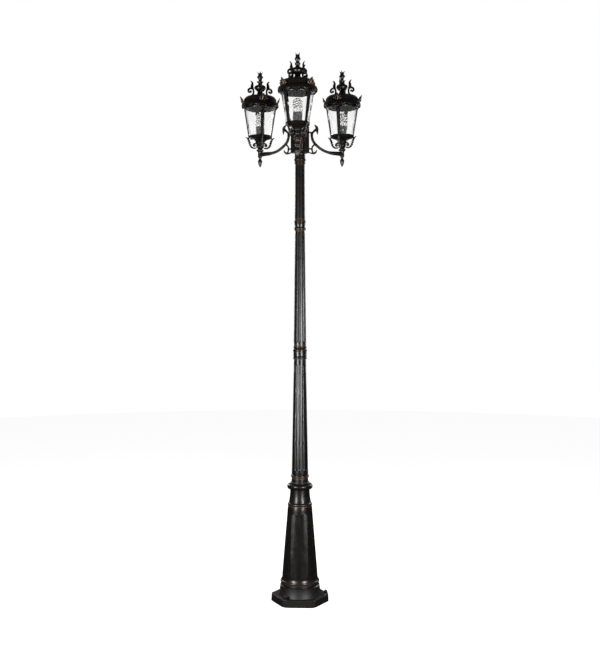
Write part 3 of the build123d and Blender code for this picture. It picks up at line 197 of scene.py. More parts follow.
def pressedGlass(name):
    # clear soda-lime glass, blown into a rippled mould: the ripples are in the mesh,
    # the finer flow marks are bump
    material, tree, output = newMaterial(name)
    place = addNode(tree, "ShaderNodeTexCoord").outputs["Object"]
    flow = addNode(tree, "ShaderNodeTexNoise", None, {
        "Vector": place, "Scale": 1 / (14.0 * mm), "Detail": 1.0, "Distortion": 0.6})
    bump = addNode(tree, "ShaderNodeBump", None, {
        "Height": flow.outputs["Fac"], "Strength": 0.2, "Distance": 0.3 * mm})
    shader = addNode(tree, "ShaderNodeBsdfPrincipled", None, {
        "Base Color": (1.0, 1.0, 1.0, 1.0), "Roughness": 0.0, "IOR": 1.5,
        "Transmission Weight": 1.0, "Normal": bump.outputs[0]})
    tree.links.new(shader.outputs[0], output.inputs["Surface"])
    return material


coatPlain = powderCoat("powderCoatPlain")
coatPainted = powderCoat("powderCoatRubbed", edgeRub=0.12)
rippledGlass = pressedGlass("rippledGlass")
zincSteel = zincPlate("zincPlatedSteel")
phenolic = mouldedPlastic("phenolicResin", "#3a3b3b", "#4a4b4b", 0.38)
ballastPlastic = mouldedPlastic("whitePolybutylene", "#e4e4e0", "#eeeeea", 0.35)
polyamide = mouldedPlastic("naturalPolyamide", "#d3d0c2", "#dedbd0", 0.45)
print("materials ready")


# mesh helpers, all in mm
def newMesh():
    build = bmesh.new()
    return build, build.verts.layers.float.new("rub")


def skinLoops(build, loops):
    # faces between each loop and the next, and a cap at each end
    count = len(loops[0])
    for one, two in zip(loops, loops[1:]):
        for k in range(count):
            n = (k + 1) % count
            build.faces.new((one[k], one[n], two[n], two[k]))
    build.faces.new(loops[0][::-1])
    build.faces.new(loops[-1])


def smoothLine(points, steps=6):
    # a smooth line through the points, the numbers after the place are carried along
    padded = [points[0]] + list(points) + [points[-1]]
    line = []
    for k in range(1, len(padded) - 2):
        before, here, there, after = padded[k - 1:k + 3]
        for step in range(steps):
            t = step / steps
            line.append(tuple(
                0.5 * (2 * b + (c - a) * t + (2 * a - 5 * b + 4 * c - d) * t * t
                       + (3 * b - a - 3 * c + d) * t ** 3)
                for a, b, c, d in zip(before, here, there, after)))
    line.append(tuple(points[-1]))
    return line


def scrollBar(build, rubLayer, line, sides=14, strands=0, lead=40.0, strandDepth=0.0, rubOut=0.6):
    # a bar in the XZ plane: line holds (x, z, half width in the plane, half thickness across it)
    rings = []
    run = 0.0
    for k, (x, z, wide, thick) in enumerate(line):
        before, after = line[max(k - 1, 0)], line[min(k + 1, len(line) - 1)]
        along = Vector((after[0] - before[0], 0, after[1] - before[1])).normalized()
        across = Vector((along.z, 0, -along.x))
        if k:
            run += math.hypot(x - line[k - 1][0], z - line[k - 1][1])
        ring = []
        for side in range(sides):
            angle = 2 * math.pi * side / sides
            swell = 1.0
            if strands:
                wave = math.cos(strands * (angle - 2 * math.pi * run / lead))
                swell = 1.0 - strandDepth * (1 - wave) / 2
                rub = max(wave, 0.0) * rubOut
            else:
                rub = max(math.cos(angle), 0.0) ** 2 * rubOut
            c, s = math.cos(angle), math.sin(angle)
            spot = Vector((x, 0, z)) + across * (wide * swell * c) + Vector((0, thick * swell * s, 0))
            vertex = build.verts.new(spot)
            vertex[rubLayer] = rub
            ring.append(vertex)
        rings.append(ring)
    skinLoops(build, rings)


def roundBoss(build, rubLayer, centre, radii, rub):
    # the rolled eye at the end of a scroll, a flattened ball
    made = bmesh.ops.create_uvsphere(build, u_segments=18, v_segments=10, radius=1.0)
    for vertex in made["verts"]:
        vertex[rubLayer] = rub * (0.5 + 0.5 * abs(vertex.co.y))
        vertex.co = Vector([share * radius for share, radius in zip(vertex.co, radii)]) + Vector(centre)


def turnedShape(build, rubLayer, outline, sides=64, lobes=0, lobeDepth=None, rubAt=None, offset=0.0):
    # outline is (radius, height) from bottom to top; lobeDepth gives the share cut away between lobes
    # and offset moves the axis along X
    rings = []
    for radius, height in outline:
        if radius < 0.01:
            vertex = build.verts.new((offset, 0, height))
            rings.append([vertex])
            continue
        ring = []
        for side in range(sides):
            angle = 2 * math.pi * side / sides
            cut = 1.0
            wave = 1.0
            if lobes:
                wave = abs(math.cos(lobes * angle / 2))
                cut = 1 - (lobeDepth(height) if lobeDepth else 0.0) * (1 - wave)
            spot = (offset + radius * cut * math.cos(angle), radius * cut * math.sin(angle), height)
            vertex = build.verts.new(spot)
            vertex[rubLayer] = (rubAt(height) if rubAt else 0.0) * wave
            ring.append(vertex)
        rings.append(ring)
    for first, second in zip(rings, rings[1:]):
        if len(first) == 1 and len(second) == 1:
            continue
        for k in range(sides):
            n = (k + 1) % sides
            if len(first) == 1:
                build.faces.new((first[0], second[n], second[k]))
            elif len(second) == 1:
                build.faces.new((first[k], first[n], second[0]))
            else:
                build.faces.new((first[k], first[n], second[n], second[k]))


def carvedLeaf(build, rubLayer, spine, widthAt, thickness=3.2, veins=1.1, across=20, cup=0.16, rub=0.7):
    # spine is (x, z) from foot to tip, the leaf spreads along Y; front faces away from the axis
    fronts, backs = [], []
    count = len(spine) - 1
    for k, (x, z) in enumerate(spine):
        before, after = spine[max(k - 1, 0)], spine[min(k + 1, count)]
        along = Vector((after[0] - before[0], 0, after[1] - before[1])).normalized()
        out = Vector((along.z, 0, -along.x))
        v = k / count
        half = widthAt(v)
        front, back = [], []
        for step in range(across + 1):
            u = 2 * step / across - 1
            ridge = veins * (math.cos(u * math.pi * 3) * (1 - abs(u)) + 1.2 * math.exp(-(u * 5) ** 2))
            rim = (1 - u * u) ** 0.5 if abs(u) < 1 else 0.0
            edge = min(1.0, 4 * v + 0.4) * min(1.0, 6 * (1 - v) + 0.15)
            place = Vector((x, u * half, z)) - out * (cup * half * u * u)
            high = place + out * (thickness * 0.5 * rim + ridge * rim) * edge
            low = place - out * (thickness * 0.5 * rim) * edge
            one = build.verts.new(high)
            one[rubLayer] = rub * (0.35 + 0.65 * max(0.0, math.cos(u * math.pi * 3))) * (0.5 + 0.5 * v)
            front.append(one)
            two = build.verts.new(low)
            two[rubLayer] = rub * 0.4
            back.append(two)
        fronts.append(front)
        backs.append(back)
    for k in range(count):
        for step in range(across):
            for near, far in ((fronts[k], fronts[k + 1]), (backs[k + 1], backs[k])):
                build.faces.new((near[step], near[step + 1], far[step + 1], far[step]))
        for step, flip in ((0, False), (across, True)):
            quad = (fronts[k][step], fronts[k + 1][step], backs[k + 1][step], backs[k][step])
            build.faces.new(quad[::-1] if flip else quad)
    for row, flip in ((0, False), (count, True)):
        for step in range(across):
            quad = (fronts[row][step], backs[row][step], backs[row][step + 1], fronts[row][step + 1])
            build.faces.new(quad[::-1] if flip else quad)


def turnedCopies(build, turns):
    # what is in the mesh, once for each turn about Z
    first = list(build.verts) + list(build.edges) + list(build.faces)
    for turn in turns[1:]:
        made = bmesh.ops.duplicate(build, geom=first)
        verts = [g for g in made["geom"] if isinstance(g, bmesh.types.BMVert)]
        aroundPost = Matrix.Rotation(math.radians(turn), 3, "Z")
        bmesh.ops.rotate(build, verts=verts, cent=(0, 0, 0), matrix=aroundPost)
    verts = [g for g in first if isinstance(g, bmesh.types.BMVert)]
    firstTurn = Matrix.Rotation(math.radians(turns[0]), 3, "Z")
    bmesh.ops.rotate(build, verts=verts, cent=(0, 0, 0), matrix=firstTurn)


def finishMesh(build, name, weld=0.01, sharp=50.0):
    bmesh.ops.remove_doubles(build, verts=build.verts, dist=weld)
    loose = [v for v in build.verts if not v.link_faces]
    bmesh.ops.delete(build, geom=loose, context="VERTS")
    bmesh.ops.recalc_face_normals(build, faces=build.faces)
    bmesh.ops.scale(build, verts=build.verts, vec=(mm, mm, mm))
    mesh = bpy.data.meshes.new(name)
    build.to_mesh(mesh)
    build.free()
    mesh.shade_smooth()
    mesh.set_sharp_from_angle(angle=math.radians(sharp))
    return mesh


def standOf(side):
    turn = math.radians(lanternAngles[side])
    reach = lanternReach * mm
    spot = Matrix.Translation((reach * math.cos(turn), reach * math.sin(turn), 0))
    return spot @ Matrix.Rotation(turn, 4, "Z")


def armSeat(side):
    return Matrix.Rotation(math.radians(lanternAngles[side]), 4, "Z")


def placePiece(name, mesh, seat, material, body, stands=()):
    piece = bpy.data.objects.new(name, mesh)
    bpy.context.scene.collection.objects.link(piece)
    if not mesh.materials:
        mesh.materials.append(material)
    piece.matrix_world = seat
    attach(piece, body)
    if stands:
        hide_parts(*stands)
    return piece


# the arm: a twisted bar from the box to the lantern's hub, a leaf at its top and a scroll under it
# paths are (reach from the post's axis, height, half width, half thickness)
armPlan = {
    "level": 2358.0,
    "bar": 7.9,
    "strands": 4,
    "lead": 40.0,
    "strandDepth": 0.24,
    "plateFace": 46.3,
    "plateLow": 2352.0,
    "plateHigh": 2468.0,
    "plateWide": 32.0,
    "plateThick": 4.0,
    "plateChamfer": 1.2,
    "plateBorder": 3.0,
    "plateSunk": 0.6,
    "route": [
        (71.0, 2458.0), (70.6, 2443.0), (72.6, 2428.0), (79.0, 2413.0), (89.0, 2400.5),
        (101.0, 2390.5), (116.0, 2380.5), (133.0, 2371.5), (152.0, 2364.4), (172.0, 2360.0),
    ],
    "twistFrom": 2,
    "topWidths": (7.5, 7.2, 6.7, 6.2),
    "flare": [
        (163.0, 2361.8, 6.6, 6.6), (180.0, 2358.9, 8.2, 8.2), (200.0, 2358.0, 9.8, 9.8),
        (220.0, 2358.0, 10.8, 10.8), (236.0, 2358.0, 11.4, 11.4), (246.0, 2358.0, 11.8, 11.8),
    ],
    "tab": [
        (45.3, 2458.0, 4.4, 4.2), (60.0, 2458.0, 4.2, 4.2), (73.0, 2457.5, 5.4, 4.4),
        (82.0, 2464.0, 6.0, 4.4), (90.0, 2471.5, 6.6, 4.2), (98.0, 2476.0, 7.4, 3.8),
    ],
    "leaf": [
        (84.5, 2499.0, 1.0, 2.0), (90.8, 2496.2, 4.0, 3.2), (97.4, 2490.4, 7.2, 4.0),
        (101.4, 2481.5, 9.2, 4.4), (102.6, 2471.0, 7.8, 4.0), (103.8, 2461.0, 5.2, 3.2),
        (104.0, 2449.5, 1.0, 1.8),
    ],
    "bracket": [
        (91.5, 2399.0, 5.4, 4.2), (85.0, 2394.5, 4.8, 4.0), (77.5, 2388.0, 4.5, 3.8),
        (73.0, 2379.5, 4.5, 3.8), (71.6, 2371.0, 4.8, 3.8), (73.2, 2361.5, 4.5, 3.8),
        (76.2, 2353.5, 4.8, 3.8), (79.4, 2347.5, 5.4, 4.0),
    ],
    "bracketTie": [(45.3, 2371.5, 4.2, 3.8), (58.0, 2371.5, 4.0, 3.8), (71.0, 2371.0, 4.4, 3.8)],
    "bracketTail": [
        (45.3, 2355.4, 3.4, 3.4), (56.0, 2351.6, 3.3, 3.4), (67.0, 2348.6, 3.8, 3.6),
        (78.0, 2348.4, 4.8, 4.0), (87.0, 2350.8, 5.6, 4.0), (93.4, 2355.2, 5.0, 3.6),
        (98.0, 2361.2, 3.8, 3.2), (99.6, 2369.2, 0.9, 1.8),
    ],
    "eye": (81.5, 0, 2349.6),
    "eyeSize": (7.6, 5.0, 6.4),
    "hub": [
        (0.0, 2343.2), (11.2, 2343.2), (12.5, 2344.6), (12.5, 2347.0), (11.6, 2348.4),
        (11.6, 2368.2), (12.5, 2369.4), (12.5, 2371.6), (11.4, 2372.8), (0.0, 2372.8),
    ],
    "hubRings": (2347.5, 2369.0),  # the rings lie under the first height and over the second
}


def hubRub(height):
    low, high = armPlan["hubRings"]
    return 0.5 if height < low or height > high else 0.05


def armCasting():
    build, rub = newMesh()
    plan = armPlan
    # the twisted bar, from the flared top to the level stretch
    twisted = plan["route"][plan["twistFrom"]:]
    rope = smoothLine([(x, z, plan["bar"], plan["bar"]) for x, z in twisted], 22)
    scrollBar(build, rub, rope, sides=40, strands=plan["strands"], lead=plan["lead"],
              strandDepth=plan["strandDepth"], rubOut=0.55)
    plainTop = [(x, z, w, w) for (x, z), w in zip(plan["route"], plan["topWidths"])]
    scrollBar(build, rub, smoothLine(plainTop), sides=28, rubOut=0.35)
    scrollBar(build, rub, smoothLine(plan["flare"]), sides=28, rubOut=0.15)
    # tab and leaf at the top, then the scroll bracket under the bar
    for path, steps, rubOut in (("tab", 6, 0.3), ("leaf", 7, 0.5), ("bracket", 6, 0.2),
                                ("bracketTie", 5, 0.1), ("bracketTail", 6, 0.25)):
        scrollBar(build, rub, smoothLine(plan[path], steps), rubOut=rubOut)
    roundBoss(build, rub, plan["eye"], plan["eyeSize"], 0.2)
    # hub, a short turned barrel with a ring at each end
    turnedShape(build, rub, plan["hub"], sides=48, rubAt=hubRub, offset=lanternReach)
    # the back plate with chamfered edges
    low, high = plan["plateLow"], plan["plateHigh"]
    half, chamfer = plan["plateWide"] / 2, plan["plateChamfer"]
    back, front = plan["plateFace"] - plan["plateThick"], plan["plateFace"]
    border = chamfer + plan["plateBorder"]
    loops = []
    for x, inset in ((back, 0.0), (front - chamfer, 0.0), (front, chamfer), (front, border),
                     (front - plan["plateSunk"], border + 0.8)):
        corner = [(x, -half + inset, low + inset), (x, half - inset, low + inset),
                  (x, half - inset, high - inset), (x, -half + inset, high - inset)]
        loop = [build.verts.new(spot) for spot in corner]
        for vertex in loop:
            vertex[rub] = 0.25 if inset else 0.0
        loops.append(loop)
    skinLoops(build, loops)
    return finishMesh(build, "armCasting")


# the scroll brackets under the gallery, cast with acanthus knuckles
# paths are (radius from the lantern's axis, height, half width, half thickness)
lowerPlan = {
    "outer": [
        (20.5, 2394.0, 3.8, 3.2), (27.0, 2391.4, 3.8, 3.2), (35.0, 2391.2, 4.0, 3.4),
        (42.0, 2393.4, 4.6, 3.6), (48.2, 2398.2, 5.0, 3.8), (53.2, 2405.0, 5.4, 4.0),
        (56.4, 2413.6, 5.4, 4.1), (59.0, 2422.4, 5.8, 4.2), (61.8, 2431.2, 5.8, 4.1),
        (65.8, 2439.0, 5.0, 3.6), (71.6, 2445.2, 3.4, 2.8), (79.8, 2450.6, 0.9, 1.4),
    ],
    "knuckle": 0.2,
    "knuckleRate": 0.62,
    "knuckled": (0.35, 0.85),  # the share of the bracket that has knuckles
    # small buds inside the bracket: place, reach to the tip, half width
    "buds": [
        (55.6, 2420.0, -6.4, 2.2, 2.8), (52.4, 2409.4, -5.4, 4.0, 2.5), (58.6, 2431.0, -5.6, -0.6, 2.6),
    ],
    "web": [(66.5, 2437.0, 4.4, 2.8), (61.8, 2444.6, 3.4, 2.6), (58.8, 2449.5, 2.2, 2.4)],
    "inner": [
        (19.5, 2423.0, 4.2, 3.6), (23.0, 2418.2, 4.6, 3.8), (29.0, 2416.0, 4.6, 4.0),
        (35.0, 2411.6, 4.2, 4.0), (36.2, 2404.6, 3.8, 3.8), (31.6, 2400.6, 3.2, 3.6),
        (27.6, 2402.8, 2.8, 3.4),
    ],
    "eye": (29.2, 0, 2405.8),
    "eyeSize": (6.4, 5.2, 6.2),
}


def lowerScrolls():
    build, rub = newMesh()
    plan = lowerPlan
    line = smoothLine(plan["outer"], 8)
    first, last = plan["knuckled"]
    knuckled = []
    for k, (x, z, wide, thick) in enumerate(line):
        here = 1.0 if first < k / len(line) < last else 0.0
        knuckle = 1 + plan["knuckle"] * math.sin(k * plan["knuckleRate"]) * here
        knuckled.append((x, z, wide * knuckle, thick * (2 - knuckle)))
    scrollBar(build, rub, knuckled, rubOut=0.35)
    for x, z, dx, dz, size in plan["buds"]:
        bud = [(x + 4, z - 1, size, 3.0), (x, z, size, 2.8), (x + dx, z + dz, size * 0.45, 1.6)]
        scrollBar(build, rub, smoothLine(bud, 5), rubOut=0.35)
    # the web that ties the bracket to the gallery's rim
    scrollBar(build, rub, smoothLine(plan["web"], 5), rubOut=0.3)
    scrollBar(build, rub, smoothLine(plan["inner"], 7), rubOut=0.4)
    roundBoss(build, rub, plan["eye"], plan["eyeSize"], 0.45)
    turnedCopies(build, cornerTurns)
    return finishMesh(build, "lowerScrolls")


# the palmettes that stand on the roof's rim
rimLeafPlan = {
    "spine": [
        (93.6, 2631.6), (95.6, 2638.0), (98.6, 2645.6), (101.6, 2652.6), (104.0, 2659.0), (108.6, 2667.8),
    ],
    "halfWide": 24.0,
    "footShare": 0.46,
    "lobeDepth": 0.2,
    # rolled side lobes, (radius, sideways, height, size)
    "rolls": [(98.6, 18.5, 2643.0, 5.0), (101.4, 13.6, 2652.6, 4.0), (97.0, 9.5, 2635.6, 4.0)],
    "knop": (98.4, 0, 2641.0),
    "knopSize": (3.4, 3.8, 4.6),
}


def leafWidth(v):
    # three lobes on each side that close to a point
    plan = rimLeafPlan
    foot, depth = plan["footShare"], plan["lobeDepth"]
    lobes = 1 - depth + depth * abs(math.sin(v * math.pi * 3.0))
    swell = foot + (1 - foot) * math.sin(min(v / 0.42, 1.0) * math.pi / 2)
    close = (1 - max(v - 0.3, 0.0) / 0.7) ** 0.8
    return max(plan["halfWide"] * swell * close * lobes, 0.5)


def rimLeaves():
    build, rub = newMesh()
    plan = rimLeafPlan
    carvedLeaf(build, rub, smoothLine(plan["spine"]), leafWidth)
    for turn in (-1, 1):
        for x, y, z, size in plan["rolls"]:
            roundBoss(build, rub, (x, turn * y, z), (size * 0.7, size, size), 0.9)
    roundBoss(build, rub, plan["knop"], plan["knopSize"], 0.9)
    turnedCopies(build, cornerTurns)
    return finishMesh(build, "rimLeaves")


# the volutes round the urn: a leg that rolls up to an eye, and a flame leaf above the fork
crownPlan = {
    "leg": [
        (46.4, 2671.0, 6.4, 4.4), (42.6, 2674.8, 5.8, 4.2), (38.1, 2681.8, 5.2, 4.0),
        (35.8, 2690.6, 5.0, 3.9), (35.7, 2699.4, 5.1, 3.9), (38.0, 2706.8, 5.5, 4.0),
        (42.8, 2711.2, 5.8, 4.0), (49.8, 2712.8, 5.4, 3.9), (57.0, 2710.6, 5.5, 3.9),
        (62.2, 2705.2, 5.7, 3.9), (63.8, 2698.4, 5.5, 3.9), (61.4, 2692.8, 5.0, 3.8),
        (56.8, 2691.2, 4.6, 3.6), (52.6, 2692.6, 4.4, 3.6),
    ],
    "eye": (51.0, 0, 2695.2),
    "eyeSize": (6.8, 5.2, 6.6),
    "flame": [
        (40.6, 2709.0, 8.0, 4.0), (43.4, 2718.0, 8.4, 4.2), (43.6, 2727.0, 8.0, 4.0),
        (42.0, 2735.0, 6.8, 3.6), (42.2, 2742.0, 5.4, 3.0), (46.0, 2748.6, 3.8, 2.4),
        (54.0, 2753.4, 1.0, 1.4),
    ],
    "foot": (46.4, 0, 2670.6),
    "footSize": (6.6, 4.8, 3.6),
}


def crownScrolls():
    build, rub = newMesh()
    plan = crownPlan
    scrollBar(build, rub, smoothLine(plan["leg"], 8), rubOut=0.12)
    roundBoss(build, rub, plan["eye"], plan["eyeSize"], 0.15)
    scrollBar(build, rub, smoothLine(plan["flame"], 7), rubOut=0.2)
    roundBoss(build, rub, plan["foot"], plan["footSize"], 0.2)
    turnedCopies(build, cornerTurns)
    return finishMesh(build, "crownScrolls")


# the knop on top: a turned core, with leaves, bulges and horns at the four corners
finialPlan = {
    "whorl": [
        (8.0, 2743.0, 3.6, 5.2), (12.4, 2746.6, 3.0, 5.0), (16.0, 2750.6, 2.2, 3.8),
        (17.2, 2754.4, 0.7, 1.6),
    ],
    "bulge": (13.0, 0, 2774.0),
    "bulgeSize": (3.8, 4.6, 5.4),
    "horn": [
        (7.6, 2790.0, 2.8, 3.2), (10.0, 2795.0, 2.2, 2.6), (11.6, 2799.0, 1.7, 2.0),
        (14.4, 2803.0, 0.5, 0.9),
    ],
    "rub": 0.12,
    "core": [
        (0.0, 2722.0), (3.8, 2722.0), (3.9, 2732.4), (11.6, 2732.8), (12.2, 2734.6), (10.8, 2737.0),
        (10.2, 2740.6), (10.6, 2744.6), (12.6, 2747.6), (13.0, 2749.6), (10.4, 2752.4), (8.6, 2755.6),
        (8.2, 2760.0), (10.0, 2764.6), (13.4, 2768.4), (15.0, 2773.4), (14.2, 2778.2), (11.6, 2782.0),
        (10.0, 2785.4), (10.0, 2788.6), (11.0, 2791.4), (10.4, 2794.6), (6.4, 2796.0), (0.0, 2795.6),
    ],
    "gadroons": 8,
    "gadroonDepth": 0.1,
    "gadrooned": (2764.0, 2784.0),
    "coreRub": 0.06,
}


def gadroonAt(height):
    low, high = finialPlan["gadrooned"]
    return finialPlan["gadroonDepth"] if low < height < high else 0.0


def finialMesh():
    build, rub = newMesh()
    plan = finialPlan
    scrollBar(build, rub, smoothLine(plan["whorl"]), rubOut=plan["rub"])
    roundBoss(build, rub, plan["bulge"], plan["bulgeSize"], plan["rub"])
    scrollBar(build, rub, smoothLine(plan["horn"]), rubOut=plan["rub"])
    turnedCopies(build, cornerTurns)
    turnedShape(build, rub, plan["core"], sides=56, lobes=plan["gadroons"], lobeDepth=gadroonAt,
                rubAt=lambda height: finialPlan["coreRub"])
    return finishMesh(build, "topFinial")


# the cage: four flat ribs that lean out with the glass, and a ring at their tops
cagePlan = {
    "footWide": 15.0,
    "topWide": 21.0,
    "thick": 3.0,
    "low": 2445.0,
    "rim": 2458.0,
    "top": 2613.0,
    "footRadius": 60.6,
    "ringInner": 83.0,
    "ringOuter": 86.0,
    "ringLow": 2601.0,
    "ringChamfer": 0.8,
    # across the rib, as shares of half its width and of its thickness: raised edges, shallow channel
    "section": [
        (-1.0, 0.0), (-1.0, 0.8), (-0.93, 1.0), (-0.72, 1.0), (-0.62, 0.72),
        (0.62, 0.72), (0.72, 1.0), (0.93, 1.0), (1.0, 0.8), (1.0, 0.0),
    ],
    "edgeRub": 0.1,
}


def cageRibs():
    build, rub = newMesh()
    plan = cagePlan
    foot, lean = plan["footRadius"] + 0.1, plan["footRadius"] + 0.6  # clear of the gallery's rim
    head = plan["ringInner"] + 0.1
    bend = plan["rim"] + 2
    rows = [(foot, plan["low"]), (foot, plan["rim"] - 2), (lean, bend)]
    for k in range(1, 12):
        t = k / 12
        rows.append((lean + t * (head - lean), bend + t * (plan["ringLow"] - bend)))
    rows += [(head, plan["ringLow"] + 1), (head, plan["top"])]
    loops = []
    for radius, height in rows:
        share = (height - plan["low"]) / (plan["top"] - plan["low"])
        half = (plan["footWide"] + share * (plan["topWide"] - plan["footWide"])) / 2
        loop = []
        for u, lift in plan["section"]:
            vertex = build.verts.new((radius + lift * plan["thick"], u * half, height))
            vertex[rub] = plan["edgeRub"] if lift >= 0.99 else 0.0
            loop.append(vertex)
        loops.append(loop)
    skinLoops(build, loops)
    turnedCopies(build, cornerTurns)
    inner, outer, chamfer = plan["ringInner"], plan["ringOuter"], plan["ringChamfer"]
    low, top = plan["ringLow"], plan["top"]
    ring = [(inner, low), (outer - chamfer, low), (outer, low + chamfer), (outer, top - chamfer),
            (outer - chamfer, top), (inner, top), (inner, low)]
    turnedShape(build, rub, ring, sides=120)
    return finishMesh(build, "cageRibs")


# the shade: a cone of clear glass whose skin ripples like water
glassPlan = {
    "low": 2450.0,
    "high": 2607.0,
    "lowRadius": 57.2,
    "highRadius": 82.5,
    "thick": 3.0,
    "ripple": 0.8,
    "innerShare": 0.5,
    "rippleSize": 26.0,
    "skin": 0.35,  # the outer face never leaves the nominal cone
    "sides": 180,
    "rows": 84,
    "noiseSeed": 5,
}
noise.seed_set(glassPlan["noiseSeed"])  # unseeded, the waves would differ at every run


def rippleAt(angle, height, radius):
    # long soft waves that run down the shade, as of water
    place = Vector((radius * math.cos(angle), radius * math.sin(angle), height * 0.55))
    spot = place / glassPlan["rippleSize"]
    bend = noise.noise_vector(spot * 0.45) * 1.2
    return noise.noise(spot + bend) + 0.35 * noise.noise(spot * 2.3 + bend)


def rippledShade(seed):
    build = newMesh()[0]
    plan = glassPlan
    sides, rows, skin, ripple = plan["sides"], plan["rows"], plan["skin"], plan["ripple"]
    outer, inner = [], []
    for row in range(rows + 1):
        t = row / rows
        height = plan["low"] + t * (plan["high"] - plan["low"])
        radius = plan["lowRadius"] + t * (plan["highRadius"] - plan["lowRadius"])
        calm = min(1.0, 8 * t, 2.6 * (1 - t) + 0.02)  # still at the foot, calmer towards the top
        ringOut, ringIn = [], []
        for side in range(sides):
            angle = 2 * math.pi * side / sides
            wave = ripple * calm * rippleAt(angle + seed, height + 37 * seed, radius)
            innerWave = plan["innerShare"] * ripple * calm * rippleAt(angle + seed + 2.0, height, radius)
            out = radius - skin + min(wave, skin)
            ins = radius - plan["thick"] + innerWave
            ringOut.append(build.verts.new((out * math.cos(angle), out * math.sin(angle), height)))
            ringIn.append(build.verts.new((ins * math.cos(angle), ins * math.sin(angle), height)))
        outer.append(ringOut)
        inner.append(ringIn)
    for row in range(rows):
        for side in range(sides):
            n = (side + 1) % sides
            build.faces.new((outer[row][side], outer[row][n], outer[row + 1][n], outer[row + 1][side]))
            build.faces.new((inner[row][n], inner[row][side], inner[row + 1][side], inner[row + 1][n]))
    for row, flip in ((0, False), (rows, True)):
        for side in range(sides):
            n = (side + 1) % sides
            quad = (outer[row][n], outer[row][side], inner[row][side], inner[row][n])
            build.faces.new(quad[::-1] if flip else quad)
    return finishMesh(build, "rippledShade", sharp=70.0)


# the spiral lamp: a screw cap, a round ballast and two tubes that wind up side by side
lampPlan = {
    "cap": 13.0,
    "capLow": 2481.0,
    "capShoulder": 5.0,
    "threadRows": 24,
    "threadStep": 0.7,
    "threadDepth": 0.5,
    "threadRate": 1.26,
    "holderTop": 2506.3,
    "ballastHigh": 2528.3,
    "coil": 20.6,
    "tube": 5.6,
    "turns": 1.9,
    "top": 2581.0,
    "steps": 150,
    "sides": 18,
    "closeFrom": 0.62,  # the share of the tube after which it turns in to the middle
    "closeTo": 0.93,
    "taper": 0.16,
}


def lampBallast():
    build, rub = newMesh()
    plan = lampPlan
    low, high = plan["holderTop"], plan["ballastHigh"]
    shoulder = plan["capLow"] + plan["capShoulder"]
    outline = [(0.0, plan["capLow"]), (5.0, plan["capLow"]), (plan["cap"] - 1, shoulder)]
    for k in range(plan["threadRows"]):  # the cap's rolled thread
        wave = plan["threadDepth"] * math.sin(k * plan["threadRate"])
        outline.append((plan["cap"] - 0.6 + wave, shoulder + k * plan["threadStep"]))
    outline += smoothLine([
        (plan["cap"], low - 0.6), (17.0, low + 0.2), (20.4, low + 1.2), (23.4, low + 5.0),
        (24.6, low + 10.0), (24.8, low + 14.0), (24.0, low + 18.6), (22.4, high - 1.0),
        (21.0, high), (12.0, high + 0.4), (0.0, high + 0.4)], 4)
    turnedShape(build, rub, outline)
    return finishMesh(build, "lampBallast", sharp=60.0)


def lampSpiral():
    build = newMesh()[0]
    plan = lampPlan
    steps, sides = plan["steps"], plan["sides"]
    climbed = plan["top"] - plan["ballastHigh"] - plan["tube"] * 1.6
    upward = Vector((0, 0, 1))
    for start in (0.0, math.pi):
        middles = []
        for k in range(steps + 1):
            t = k / steps
            angle = start + t * plan["turns"] * 2 * math.pi
            height = plan["ballastHigh"] + 2.0 + min(t / 0.94, 1.0) * climbed
            closing = max(t - plan["closeFrom"], 0.0) / (1 - plan["closeFrom"])
            radius = plan["coil"] * (1 - plan["closeTo"] * closing ** 1.7)
            middles.append(Vector((radius * math.cos(angle), radius * math.sin(angle), height)))
        loops = []
        for k, spot in enumerate(middles):
            along = (middles[min(k + 1, steps)] - middles[max(k - 1, 0)]).normalized()
            across = along.cross(upward).normalized()
            rise = across.cross(along).normalized()
            size = plan["tube"] * (1 - plan["taper"] * (k / steps))
            angles = [2 * math.pi * s / sides for s in range(sides)]
            loops.append([build.verts.new(spot + across * size * math.cos(a) + rise * size * math.sin(a))
                          for a in angles])
        skinLoops(build, loops)
    return finishMesh(build, "lampSpiral", weld=0.001)


print("shapes defined")

armMesh = armCasting()
lowerScrollMesh = lowerScrolls()
rimLeafMesh = rimLeaves()
crownMesh = crownScrolls()
finialShape = finialMesh()
cageMesh = cageRibs()
ballastMesh = lampBallast()
spiralMesh = lampSpiral()
phosphor = mouldedPlastic("phosphorGlass", "#cfcfcc", "#d9d9d6", 0.18)
print("meshes built")

coatSlot = "bronze_powder_coat"
for number, side in enumerate(lanternAngles):
    stand = standOf(side)
    roofBody, bulbBody, finialBody = f"{side}_roof_body", f"{side}_bulb_body", f"{side}_finial_body"
    shade = rippledShade(1.7 * number)  # no two shades ripple alike
    pieces = (
        ("ArmCasting", armMesh, armSeat(side), coatPainted, "root", coatSlot, "arm"),
        ("LowerBrackets", lowerScrollMesh, stand, coatPainted, "root", coatSlot, "lower_scrolls"),
        ("CageRibs", cageMesh, stand, coatPlain, "root", coatSlot, "cage"),
        ("RimPalmettes", rimLeafMesh, stand, coatPainted, roofBody, coatSlot, "rim_leaves"),
        ("CrownVolutes", crownMesh, stand, coatPainted, roofBody, coatSlot, "crown_scrolls"),
        ("TopKnop", finialShape, stand, coatPainted, finialBody, coatSlot, "finial"),
        ("RippledShade", shade, stand, rippledGlass, "root", "clear_glass", "glass"),
        ("LampBallast", ballastMesh, stand, ballastPlastic, bulbBody, "bulb_white", "bulb"),
        ("LampSpiral", spiralMesh, stand, phosphor, bulbBody, "bulb_white", ""),
    )
    for title, mesh, seat, material, body, slotName, node in pieces:
        stands = [f"{side}_{node}"] if node else []
        placePiece(f"{side}{title}", mesh, seat, material, body, stands)
print("lanterns dressed")

